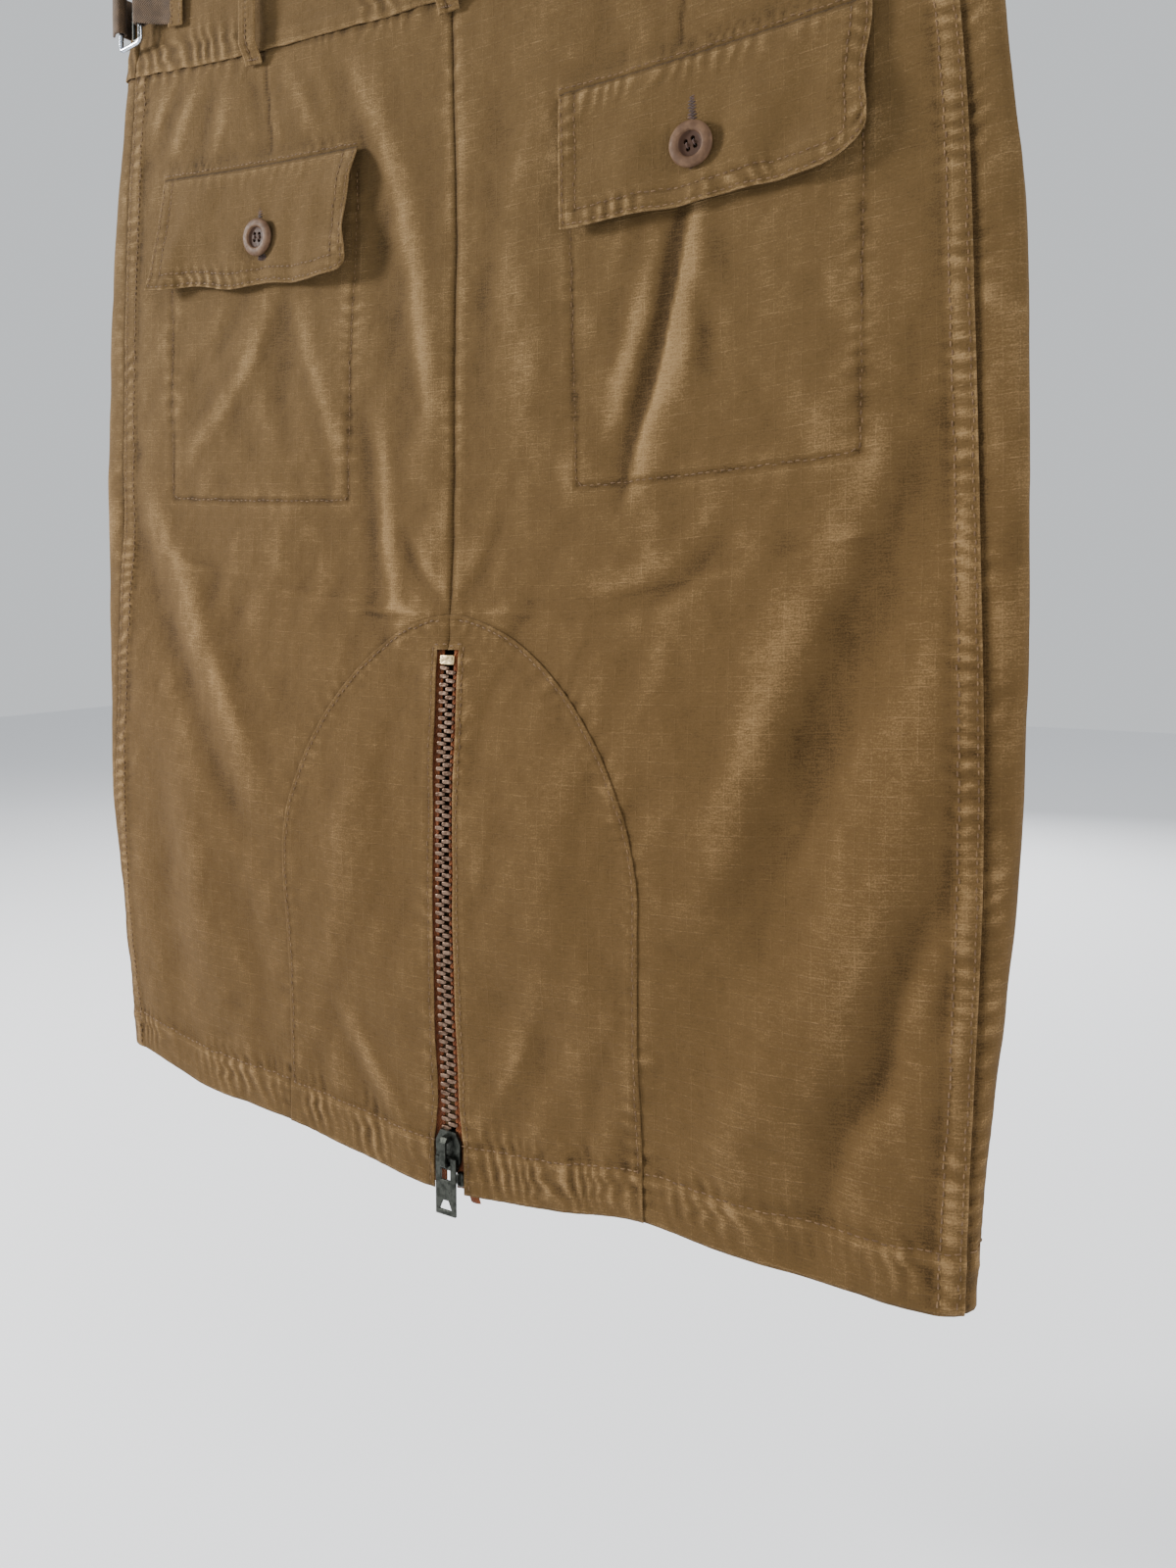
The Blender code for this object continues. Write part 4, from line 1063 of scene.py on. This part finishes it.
def rounded_block(half, power=3.0, around=16, rings=9):
    """A block with soft edges, as points and faces."""
    turn = np.arange(around) * 2 * math.pi / around
    lift = np.linspace(-math.pi / 2, math.pi / 2, rings + 2)[1:-1]

    def soft(value):
        return np.sign(value) * np.abs(value) ** (2 / power)

    ring = np.stack([soft(np.cos(lift))[:, None] * soft(np.cos(turn)),
                     soft(np.cos(lift))[:, None] * soft(np.sin(turn)),
                     soft(np.sin(lift))[:, None] * np.ones(around)], -1).reshape(-1, 3)
    points = np.concatenate([[(0, 0, -1)], ring, [(0, 0, 1)]]) * np.asarray(half, float)
    k = np.arange(around)
    after = (k + 1) % around
    faces = [np.stack([np.zeros_like(k), 1 + after, 1 + k], -1)]
    for row in range(rings - 1):
        a, b = 1 + row * around, 1 + (row + 1) * around
        faces += [np.stack([a + k, a + after, b + after], -1), np.stack([a + k, b + after, b + k], -1)]
    last = 1 + (rings - 1) * around
    faces.append(np.stack([last + k, last + after, np.full_like(k, len(points) - 1)], -1))
    return points, np.concatenate(faces)


def repeated(local, faces, at, right, up, outward):
    verts = set_out(local, at, right, up, outward)
    lots = faces[None] + (np.arange(len(verts)) * len(local))[:, None, None]
    return verts.reshape(-1, 3), lots.reshape(-1, faces.shape[1])


ZIP_OUT = -0.35
TOOTH_PITCH = 3.6
TEETH_TOP = ZIP_TOP + 8.0
TEETH_BOTTOM = 489.0


def zip_out(drop):
    """How far out the zip runs at a drop: it follows the folds of the cloth beside it."""
    return 0.5 * (folds(np.full(np.shape(drop), 8.0), drop) + folds(np.full(np.shape(drop), -8.0), drop))


def add_teeth():
    """Two rows of cast teeth, which meet in the middle."""
    lots = []
    rng = np.random.default_rng(41)
    local, faces = rounded_block((2.45, 0.98, 1.0), 3.4)
    dimple = np.exp(-((local[:, 0] / 1.3) ** 2) - (local[:, 1] / 0.5) ** 2)
    local[:, 2] -= 0.35 * dimple * (local[:, 2] > 0)
    for side in (-1, 1):
        drops = np.arange(TEETH_TOP + (TOOTH_PITCH / 2 if side > 0 else 0), TEETH_BOTTOM, TOOTH_PITCH)
        tilt = rng.normal(0, 0.05, len(drops))
        at, right, up, outward = frames(np.full(len(drops), side * 1.75), drops, zip_out(drops) + ZIP_OUT)
        right, up = right + up * tilt[:, None], up - right * tilt[:, None]
        shaped = local.copy()
        shaped[:, 0] *= side
        turned = faces[:, ::-1] if side < 0 else faces
        lots.append(repeated(shaped, turned, at, right, up, outward))
    return joined("zip_teeth", lots, TEETH_LOOK, "zip_metal", ["zip_chain"])


def add_tape(hand, side):
    """A zip tape, with the corded edge that carries the teeth."""
    across = np.array([2.6, 2.9, 3.4, 4.0, 4.6, 5.2, 6.0, 8.0, 10.0, 12.0, 13.6, 14.2])
    drops = np.linspace(ZIP_TOP - 5, HEM - 1.5, 190)
    drop, girth = np.meshgrid(drops, across, indexing="ij")
    cord = 0.55 * np.exp(-(((girth - 3.2) / 0.7) ** 2))
    height = zip_out(drop) + cord + 0.12 * noise(girth, drop / 3, 43 + side)
    name = "zip_tape_" + hand
    made = shell(name + "_cloth", girth * side, drop, height, TAPE_LOOK, "zip_tape", [name], -1.25, 0.6)
    return hang(made)


def add_stop():
    """The square stop above the teeth, pressed round both tapes."""
    local, faces = rounded_block((3.7, 2.15, 1.25), 7.0, 32, 15)
    local[:, 2] += 0.12 * noise(local[:, 0] * 1.5, local[:, 1] * 1.5, 44) * (local[:, 2] > 0)
    drop = np.array([ZIP_TOP + 4.4])
    lot = repeated(local, faces, *frames(np.array([0.0]), drop, zip_out(drop) + ZIP_OUT + 0.3))
    return joined("zip_stop_plate", [lot], GOLD_LOOK, "zip_gold", ["zip_stop"])


def add_tape_end():
    """The left tape's end turns out past the hem, with its black stop."""
    block, faces = rounded_block((2.1, 3.2, 1.5), 3.0, 20, 11)
    spot = frames(np.array([5.2]), np.array([508.5]), np.array([0.6]))
    joined("zip_end_stop", [repeated(block, faces, *spot)], GUN_LOOK, "slider_metal")
    drop, girth = np.meshgrid(np.linspace(504, 517, 20), np.linspace(0, 1, 12), indexing="ij")
    down = (drop - 504) / 13
    slanted = 4.6 + 5.0 * girth + 5.2 * down
    height = 0.5 * np.sin(girth * 3.0) - 0.9
    made = shell("zip_tape_end", slanted, drop, height, TAPE_LOOK, "zip_tape", [], 0.3, 0.6)
    hang(made)


# ---- buttons -------------------------------------------------------------------------------------
BUTTON_PROFILE = ((0, 0), (6.8, 0.05), (8.0, 0.45), (8.75, 1.1), (9.0, 1.75), (8.85, 2.35), (8.3, 2.85),
                  (7.4, 3.15), (6.4, 3.25), (5.6, 3.2), (5.15, 2.95), (4.85, 2.4), (4.6, 2.1),
                  (3.6, 1.95), (0, 1.9))
HOLE_APART = 1.55
HOLE_RADIUS = 0.85


def add_button(name, girth, drop, out, seed):
    """A turned four-hole button with a broad rim and a well, sewn on with crossed thread."""
    profile = rounded([(r, z) for r, z in BUTTON_PROFILE[1:-1]], 3)
    around = 64
    bm = bmesh.new()
    turn = [2 * math.pi * i / around for i in range(around)]
    rings = [[bm.verts.new((r * math.cos(a) * MM, r * math.sin(a) * MM, z * MM)) for a in turn]
             for r, z in profile]
    for low, high in zip(rings, rings[1:]):
        for i in range(around):
            j = (i + 1) % around
            bm.faces.new((low[i], low[j], high[j], high[i]))
    bm.faces.new(rings[0][::-1])
    bm.faces.new(rings[-1])
    mesh = bpy.data.meshes.new(name)
    bm.to_mesh(mesh)
    bm.free()
    made = bpy.data.objects.new(name + "_turned", mesh)
    bpy.context.scene.collection.objects.link(made)
    holes = bmesh.new()
    for x in (-HOLE_APART, HOLE_APART):
        for y in (-HOLE_APART, HOLE_APART):
            bmesh.ops.create_cone(holes, cap_ends=True, segments=20, radius1=HOLE_RADIUS * MM,
                                  radius2=HOLE_RADIUS * 1.15 * MM, depth=8 * MM,
                                  matrix=Matrix.Translation((x * MM, y * MM, 0)))
    cutter_mesh = bpy.data.meshes.new(name + "_holes")
    holes.to_mesh(cutter_mesh)
    holes.free()
    cutter = bpy.data.objects.new(name + "_holes", cutter_mesh)
    bpy.context.scene.collection.objects.link(cutter)
    cut = made.modifiers.new("holes", "BOOLEAN")
    cut.object = cutter
    bpy.context.view_layer.update()
    cut_mesh = bpy.data.meshes.new_from_object(made.evaluated_get(bpy.context.evaluated_depsgraph_get()))
    made.modifiers.clear()
    made.data = cut_mesh
    bpy.data.objects.remove(cutter)
    # 1 on the raised rim and 0 in the well, which the finish darkens: the button's own tone with painted shade in
    # the hollow.
    layer = cut_mesh.attributes.new("wear_and_shading", "FLOAT", "POINT")
    rim = []
    for vert in cut_mesh.vertices:
        rim.append(1.0 if math.hypot(vert.co.x, vert.co.y) > 4.9 * MM else 0.0)
    layer.data.foreach_set("value", rim)
    cut_mesh.materials.clear()
    cut_mesh.materials.append(BUTTON_LOOK)
    cut_mesh.shade_smooth()
    cut_mesh.set_sharp_from_angle(angle=math.radians(50))
    at, right, up, outward = (a[0] for a in frames(np.array([girth]), np.array([drop]), np.array([out]), 8))
    turned = Matrix((right, up, outward)).transposed().to_4x4()
    spin = Matrix.Rotation(0.16 * (seed % 3 - 1) + 0.08, 4, "Z") @ Matrix.Rotation(0.05, 4, "X")
    cut_mesh.transform(Matrix.Translation(at) @ turned @ spin)
    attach(made, ROOT)
    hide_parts(name)
    lines = []
    for a, b in (((-1, -1), (-1, 1)), ((1, -1), (1, 1)), ((-1, -0.9), (-0.9, 1)), ((1, -0.9), (0.9, 1))):
        steps = np.linspace(-0.02, 1.02, 6)[:, None]
        run = (np.array(a) * (1 - steps) + np.array(b) * steps) * HOLE_APART
        rise = np.array([0.9, 1.8, 2.35, 2.35, 1.8, 0.9])[:, None]
        lines.append(np.concatenate([run, rise], 1))
    local = np.array(lines)
    moved = np.array([[(Matrix.Translation(at) @ turned @ spin) @ Vector(p * MM) for p in line]
                      for line in local])
    normal = np.broadcast_to(outward, moved.shape)
    aside = np.cross(moved[:, -1:] - moved[:, :1], normal)
    aside /= np.linalg.norm(aside, axis=-1, keepdims=True)
    return tubes(moved, aside, normal, np.array([0, 1, 1, 1, 1, 0]) * 0.3 * MM)


def bars(places, surface, base, radius=0.2):
    """Single stitches from point to point: places is a list of (start, end)."""
    lots = []
    for start, end in places:
        steps = np.array([0, 0.1, 0.35, 0.65, 0.9, 1])[:, None]
        line = np.array(start) * (1 - steps) + np.array(end) * steps
        girth, drop = line[:, 0], line[:, 1]
        out = surface + base + np.array([-0.3, -0.05, 0.08, 0.08, -0.05, -0.3])
        middle = place(girth, drop, out)[None]
        normal = place(girth, drop, out + 1)[None] - middle
        normal /= np.linalg.norm(normal, axis=-1, keepdims=True)
        tangent = middle[:, -1:] - middle[:, :1]
        aside = np.cross(tangent / np.linalg.norm(tangent, axis=-1, keepdims=True), normal)
        lots.append(tubes(middle, aside, normal, np.array([0, 0.9, 1, 1, 0.9, 0]) * radius * MM, 5))
    return lots


def flap_level(girth, drop, side):
    """The height of a flap's outer face at a place in its middle."""
    first = FLAP_INNER if side > 0 else -FLAP_INNER - FLAP_WIDTH
    across = np.array([(girth - first) / FLAP_WIDTH])
    down = np.array([(drop - FLAP_TOP) / FLAP_HEIGHT])
    return float(flap_place(across, down, side)[2][0]) + FLAP_WALL / 2


def add_buttons():
    """The two flap buttons and the waist button, with their buttonholes' zigzag."""
    dark = []
    rng = np.random.default_rng(61)
    for hand, side in SIDES:
        girth = side * BUTTON_GIRTH
        level = flap_level(girth, BUTTON_DROP, side)
        dark.append(add_button("button_" + hand, girth, BUTTON_DROP, level + 0.5, 1 + side))
        hole = []
        for count, step in enumerate(np.arange(-18.5, -8.0, 0.62)):
            width = (2.1 if step > -17 else 1.4) * rng.uniform(0.8, 1.15)
            lean = rng.uniform(0.1, 0.5) * (-1) ** count
            hole.append(((girth - width, BUTTON_DROP + step + lean), (girth + width, BUTTON_DROP + step - lean)))
        for turn in np.linspace(-0.75, 0.75, 9):
            near = (girth + 6.0 * math.sin(turn) * 0.35 + 1.0, BUTTON_DROP + 7.6)
            far = (girth + 6.0 * math.sin(turn) * 0.75 + 1.2, BUTTON_DROP + 10.6 + 0.8 * math.cos(turn * 2))
            hole.append((near, far))
        dark += bars(hole, level, 0.05, 0.31)
    front = float(half_girth(-BAND / 2)) - 20
    dark.append(add_button("button_waist", front, -BAND / 2, LAYER_STEP * 2 + 1.9, 4))
    return joined("button_threads", dark, DARK_THREAD, "stitching")


# ---- belt loops and side adjusters ----------------------------------------------------------------
LOOP_FROM_BACK = 116.5
LOOP_FROM_FRONT = 95.0
LOOP_END = 9.0
LOOP_STAND = 5.0
LOOP_WALL = 1.3


def loop_middle(drop, side, from_back, from_front):
    if from_front is None:
        return side * np.full(np.shape(drop), float(from_back))
    return side * (half_girth(drop) - from_front)


def loop_out(down):
    stand = np.clip(np.minimum(down, 1 - down) / 0.2, 0, 1)
    return 1.65 + LOOP_STAND * stand * stand * (3 - 2 * stand)


def add_loop(name, side, from_back=None, from_front=None):
    """A belt loop of folded cloth with its ends turned under, and its rows of stitches."""
    down = np.concatenate([[0, 0.008], np.linspace(0.02, 0.98, 56), [0.992, 1]])
    across = np.concatenate([[0, 0.05], np.linspace(0.1, 0.9, 12), [0.95, 1]])
    down, across = np.meshgrid(down, across, indexing="ij")
    drop = -BAND + 1.5 + (BAND + LOOP_END - 1.5) * down
    girth = loop_middle(drop, side, from_back, from_front) + LOOP_WIDTH * (across - 0.5)
    height = 0.3 * np.exp(-(((1 - down) * 52 / 4) ** 2)) + 0.25 * noise(girth / 3, drop / 7, 70)
    height -= 0.35 * np.exp(-(((across - 0.44) * LOOP_WIDTH / 0.8) ** 2))
    height += 0.22 * np.cos(drop * 2.1 + across * 3) * np.exp(-(((across - 0.44) / 0.2) ** 2))
    edge = 0.3 * np.exp(-((np.minimum(across, 1 - across) * LOOP_WIDTH / 0.9) ** 2))
    made = shell(name + "_cloth", girth, drop, height, LOOP_LOOK, "ripstop", [name], loop_out(down),
                 LOOP_WALL, edge)
    hang(made)

    def surface(g, d):
        return loop_out((d + BAND - 1.5) / (BAND + LOOP_END - 1.5))

    base = LOOP_WALL / 2 + 0.12
    ends = []
    for level in (-BAND + 3.2, LOOP_END - 2.2):
        middle = float(loop_middle(level, side, from_back, from_front))
        ends.append(stitches([(middle - 4.6, level), (middle + 4.6, level)], surface, base, 1.1, 1.3,
                             0.24, 72, 0.5))
    drops = np.linspace(-BAND + 3, LOOP_END - 2, 20)
    line = [(float(loop_middle(d, side, from_back, from_front)) - 0.06 * LOOP_WIDTH, d) for d in drops]
    ends.append(stitches(line, surface, base - 0.3, 2.7, 2.1, 0.23, 73))
    return ends


STRAP_HEIGHT = 20.5
RING_DROP = -26.0
STRAP_DROP = -30.0  # the straps hang on the upper part of the ring
RING_GIRTH = 203.0
RING_HALF_WIDTH = 9.0
RING_HALF_HEIGHT = 15.0
RING_WIRE = 1.25
RING_STAND = 6.6
STRAP_PATH = ((275, 3.2), (258, 3.4), (240, 4.1), (228, 4.6), (219, 4.8))
STRAP_WALL = 1.2


def strip(name, plan, finish, slot, nodes, height=STRAP_HEIGHT, wall=STRAP_WALL):
    """An upright woven strip along a path in plan, given in metres."""
    path = smooth_path(plan, 10)
    tangent = np.gradient(path, axis=0)
    tangent[:, 2] = 0
    tangent /= np.linalg.norm(tangent, axis=1, keepdims=True)
    aside = np.stack([tangent[:, 1], -tangent[:, 0], np.zeros(len(path))], -1)
    far = np.concatenate([[0], np.cumsum(np.linalg.norm(np.diff(path, axis=0), axis=1))])
    levels = np.concatenate([[0, 0.02], np.linspace(0.05, 0.95, 19), [0.98, 1]])
    thick = np.minimum(1, 0.45 + np.minimum(levels, 1 - levels) * 30) * wall
    ripple = 0.12 * noise(far[None, :] * 250, levels[:, None] * 5, 81)
    middle = path[None] + np.array([0, 0, height * MM]) * (0.5 - levels)[:, None, None]
    middle = middle + aside[None] * ripple[..., None] * MM
    half = aside[None] * (thick * MM / 2)[:, None, None]
    rows, columns = len(levels), len(path)
    index = np.arange(rows * columns).reshape(rows, columns)
    quads = np.stack([index[:-1, :-1], index[:-1, 1:], index[1:, 1:], index[1:, :-1]], -1).reshape(-1, 4)
    rim = np.concatenate([index[0, :], index[1:, -1], index[-1, -2::-1], index[-2:0:-1, 0]])
    count = rows * columns
    walls = np.stack([rim, rim + count, np.roll(rim, -1) + count, np.roll(rim, -1)], -1)
    faces = np.concatenate([quads, quads[:, ::-1] + count, walls])
    verts = np.concatenate([(middle + half).reshape(-1, 3), (middle - half).reshape(-1, 3)])
    normal = np.cross(verts[quads[0][1]] - verts[quads[0][0]], verts[quads[0][3]] - verts[quads[0][0]])
    if normal @ aside[0] < 0:
        faces = faces[:, ::-1]
    made = new_object(name, verts, faces, finish, slot, nodes)
    uv = np.stack(np.broadcast_arrays(far[None, :], (levels * height * MM)[:, None]), -1).reshape(-1, 2)
    corners = np.empty(len(made.data.loops), np.int32)
    made.data.loops.foreach_get("vertex_index", corners)
    layer = made.data.uv_layers.new(name="cloth")
    layer.data.foreach_set("uv", np.tile(uv, (2, 1))[corners].ravel())
    layer = made.data.attributes.new("wear_and_shading", "FLOAT", "POINT")
    rubbed = 0.5 + 0.35 * np.exp(-((np.minimum(levels, 1 - levels) * height / 0.8) ** 2))
    layer.data.foreach_set("value", np.tile(np.repeat(rubbed, columns), 2).astype(np.float32))
    return made


def smooth_path(points, per_span):
    points = [np.asarray(p, float) for p in points]
    ends = [2 * points[0] - points[1]] + points + [2 * points[-1] - points[-2]]
    path = []
    for a, b, c, d in zip(ends, ends[1:], ends[2:], ends[3:]):
        for t in np.arange(per_span) / per_span:
            path.append(0.5 * (2 * b + (c - a) * t + (2 * a - 5 * b + 4 * c - d) * t * t
                               + (3 * b - a - 3 * c + d) * t**3))
    return np.array(path + [points[-1]])


def closed_tube(points, radius, around=12):
    """A ring of round wire through points in metres."""
    points = np.asarray(points, float)
    tangent = np.roll(points, -1, 0) - np.roll(points, 1, 0)
    tangent /= np.linalg.norm(tangent, axis=1, keepdims=True)
    centre = points.mean(0)
    plane = np.cross(points[0] - centre, points[len(points) // 4] - centre)
    plane /= np.linalg.norm(plane)
    outward = np.cross(tangent, plane)
    turn = np.arange(around) * 2 * math.pi / around
    verts = points[:, None] + radius * (outward[:, None] * np.cos(turn)[:, None] + plane * np.sin(turn)[:, None])
    index = np.arange(len(points) * around).reshape(len(points), around)
    a, b = index, np.roll(index, -1, 0)
    faces = np.stack([a, b, np.roll(b, -1, 1), np.roll(a, -1, 1)], -1).reshape(-1, 4)
    return verts.reshape(-1, 3), faces


def rectangle(middle, along, half_width, half_height, corner=2.0, lean=0.0):
    outline = []
    for turn in range(0, 360, 10):
        angle = math.radians(turn + 5)
        x = math.copysign(half_width - corner, math.cos(angle)) + corner * math.cos(angle)
        z = math.copysign(half_height - corner, math.sin(angle)) + corner * math.sin(angle)
        outline.append(middle + (along * x + np.array([0, 0, z])) * MM
                       + np.array([along[1], -along[0], 0]) * lean * z * MM)
    return outline


def add_adjuster(hand, side):
    """The side adjuster: a tab sewn on the back of the band, a wire ring and a strap from the front."""
    middle = skin(side * RING_GIRTH, RING_DROP, RING_STAND)
    along = skin(side * (RING_GIRTH + 6), RING_DROP, 0) - skin(side * (RING_GIRTH - 6), RING_DROP, 0)
    along[2] = 0
    along /= np.linalg.norm(along)
    outward = np.array([along[1], -along[0], 0]) * side
    ring = closed_tube(rectangle(middle, along, RING_HALF_WIDTH, RING_HALF_HEIGHT), RING_WIRE * MM)
    steel = new_object("adjuster_ring_wire_" + hand, *ring, STEEL_LOOK, "buckle_steel",
                       ["adjuster_ring_" + hand])
    steel.data.set_sharp_from_angle(angle=math.radians(60))
    hung = np.array([0, 0, (RING_DROP - STRAP_DROP) * MM])
    near_bar = middle - along * RING_HALF_WIDTH * MM + hung
    far_bar = middle + along * RING_HALF_WIDTH * MM + hung
    slide = rectangle(near_bar - hung + (along * 2.4 + outward * 0.4) * MM, along, 2.6, RING_HALF_HEIGHT - 1.0, 1.6)
    new_object("adjuster_slide_" + hand, *closed_tube(slide, 0.9 * MM), GUN_LOOK, "buckle_steel")
    radius = (RING_WIRE + 0.45 + 0.7) * MM

    def wrap(bar, towards):
        return [bar + step * radius for step in (
            outward, outward * 0.7 + along * 0.7 * towards, along * towards,
            along * 0.7 * towards - outward * 0.7, -outward)]

    start = RING_GIRTH - RING_HALF_WIDTH
    tab = [skin(side * (start - back), STRAP_DROP, out) for back, out in ((24, 2.0), (14, 4.0))]
    tab += wrap(near_bar, 1) + [near_bar - (along * 5 + outward * 2.1) * MM]
    strip("adjuster_tab_" + hand + "_twill", tab, STRAP_LOOK, "strap_twill", ["adjuster_tab_" + hand])
    strap = [skin(side * girth, STRAP_DROP, out) for girth, out in STRAP_PATH]
    strap.append(far_bar + (along * 2.2 - outward * 3.4) * MM)
    strap += wrap(far_bar, -1)[::-1]
    strap += [far_bar + (along * 2.5 + outward * 2.3) * MM, far_bar + (along * 6 + outward * 0.8) * MM]
    strip("adjuster_strap_" + hand + "_twill", strap, STRAP_LOOK, "strap_twill", ["adjuster_strap_" + hand])
    return add_tab_cover(hand, side, start - 22)


def add_tab_cover(hand, side, girth_end):
    """The folded cloth end that sews the tab to the band."""
    down = np.linspace(0, 1, 30)
    across = np.linspace(0, 1, 14)
    down, across = np.meshgrid(down, across, indexing="ij")
    drop = STRAP_DROP - STRAP_HEIGHT / 2 - 1.5 + (STRAP_HEIGHT + 3) * down
    girth = side * (girth_end - 6 + 11 * across)
    height = 0.2 * np.exp(-((across * 11 / 2) ** 2)) + 0.15 * noise(girth / 3, drop / 4, 90)
    edge = 0.25 * np.exp(-((np.minimum(across, 1 - across) * 11 / 1.0) ** 2))
    made = shell("adjuster_cover_" + hand, girth, drop, height, LOOP_LOOK, "ripstop", [], 2.9, 1.0, edge)
    hang(made)
    lots = []
    for inset in (2.0, 8.0):
        at = side * (girth_end - 6 + inset)
        lots.append(stitches([(at, STRAP_DROP - 11), (at, STRAP_DROP + 11)],
                             lambda g, d: np.zeros(np.shape(g)), 2.9 + 0.62, 2.6, 2.0, 0.23, 92))
    return lots


# ---- the build -----------------------------------------------------------------------------------
def add_camera():
    """The camera stands where it shows the back of the skirt, slightly from its left."""
    heading, pitch, roll = (math.radians(a) for a in (31.22, -0.33, -0.42))
    ahead = Vector((math.sin(heading) * math.cos(pitch), -math.cos(heading) * math.cos(pitch),
                    math.sin(pitch)))
    level = ahead.cross(Vector((0, 0, 1))).normalized()
    upright = level.cross(ahead)
    right = level * math.cos(roll) + upright * math.sin(roll)
    up = upright * math.cos(roll) - level * math.sin(roll)
    data = bpy.data.cameras.new("camera")
    data.sensor_fit = "VERTICAL"
    data.sensor_height = 36
    data.lens = 27.87
    data.shift_x, data.shift_y = 0.0286, -0.1174
    camera = bpy.data.objects.new("camera", data)
    camera.matrix_world = Matrix.Translation((-0.3076, 0.4437, -0.3067)) @ Matrix(
        (right, up, -ahead)).transposed().to_4x4()
    bpy.context.scene.collection.objects.link(camera)
    bpy.context.scene.camera = camera
    data.clip_start = 0.01


def add_light(name, place_at, size, power, colour=(1, 1, 1)):
    data = bpy.data.lights.new(name, "AREA")
    data.shape = "DISK"
    data.size = size
    data.energy = power
    data.color = colour
    lamp = bpy.data.objects.new(name, data)
    lamp.location = place_at
    aim = Vector((0, 0, -0.3)) - Vector(place_at)
    lamp.rotation_euler = aim.to_track_quat("-Z", "Y").to_euler()
    bpy.context.scene.collection.objects.link(lamp)


def add_stage():
    world = bpy.context.scene.world or bpy.data.worlds.new("world")
    bpy.context.scene.world = world
    world.use_nodes = True
    ground = world.node_tree.nodes["Background"]
    ground.inputs["Color"].default_value = (0.80, 0.83, 0.86, 1)
    ground.inputs["Strength"].default_value = 0.9
    add_light("key", (1.7, 0.9, 0.35), 0.45, 82, (1.0, 0.98, 0.96))
    add_light("fill", (-1.8, 0.5, 0.15), 0.9, 28, (1.0, 0.98, 0.96))
    add_light("behind", (0.4, -1.8, 0.4), 1.6, 40)
    bpy.ops.mesh.primitive_plane_add(size=8, location=(0, 0, -0.78))
    floor = bpy.context.object
    floor.name = "floor"
    paint = Finish("floor", (0.82, 0.83, 0.85), 0.8)
    floor.data.materials.append(paint.material)


def dress(node, finish):
    """A CAD node that is shown as it is gets its finish."""
    mesh = bpy.data.objects[node].data
    mesh.materials.clear()
    mesh.materials.append(finish)


add_camera()
add_band("waistband_back", -212, 212)
add_band("waistband_front_left", -212, -440, 34.0)
add_band("waistband_front_right", 212, 440)
for hand, side in SIDES:
    add_back(hand, side)
    add_dome(hand, side)
    add_front(hand, side)
    add_flap(hand, side)
    add_bag(hand, side)
add_stitching()
loop_stitching = add_loop("loop_centre_back", 1, from_back=0.0)
for hand, side in SIDES:
    loop_stitching += add_loop("loop_back_" + hand, side, from_back=LOOP_FROM_BACK)
    loop_stitching += add_loop("loop_front_" + hand, side, from_front=LOOP_FROM_FRONT)
    loop_stitching += add_adjuster(hand, side)
    add_tape(hand, side)
joined("loop_stitching", loop_stitching, TAN_THREAD, "stitching")
add_buttons()
add_teeth()
add_stop()
add_tape_end()
dress("zip_slider", GUN_LOOK)
dress("zip_pull", GUN_LOOK)
add_stage()
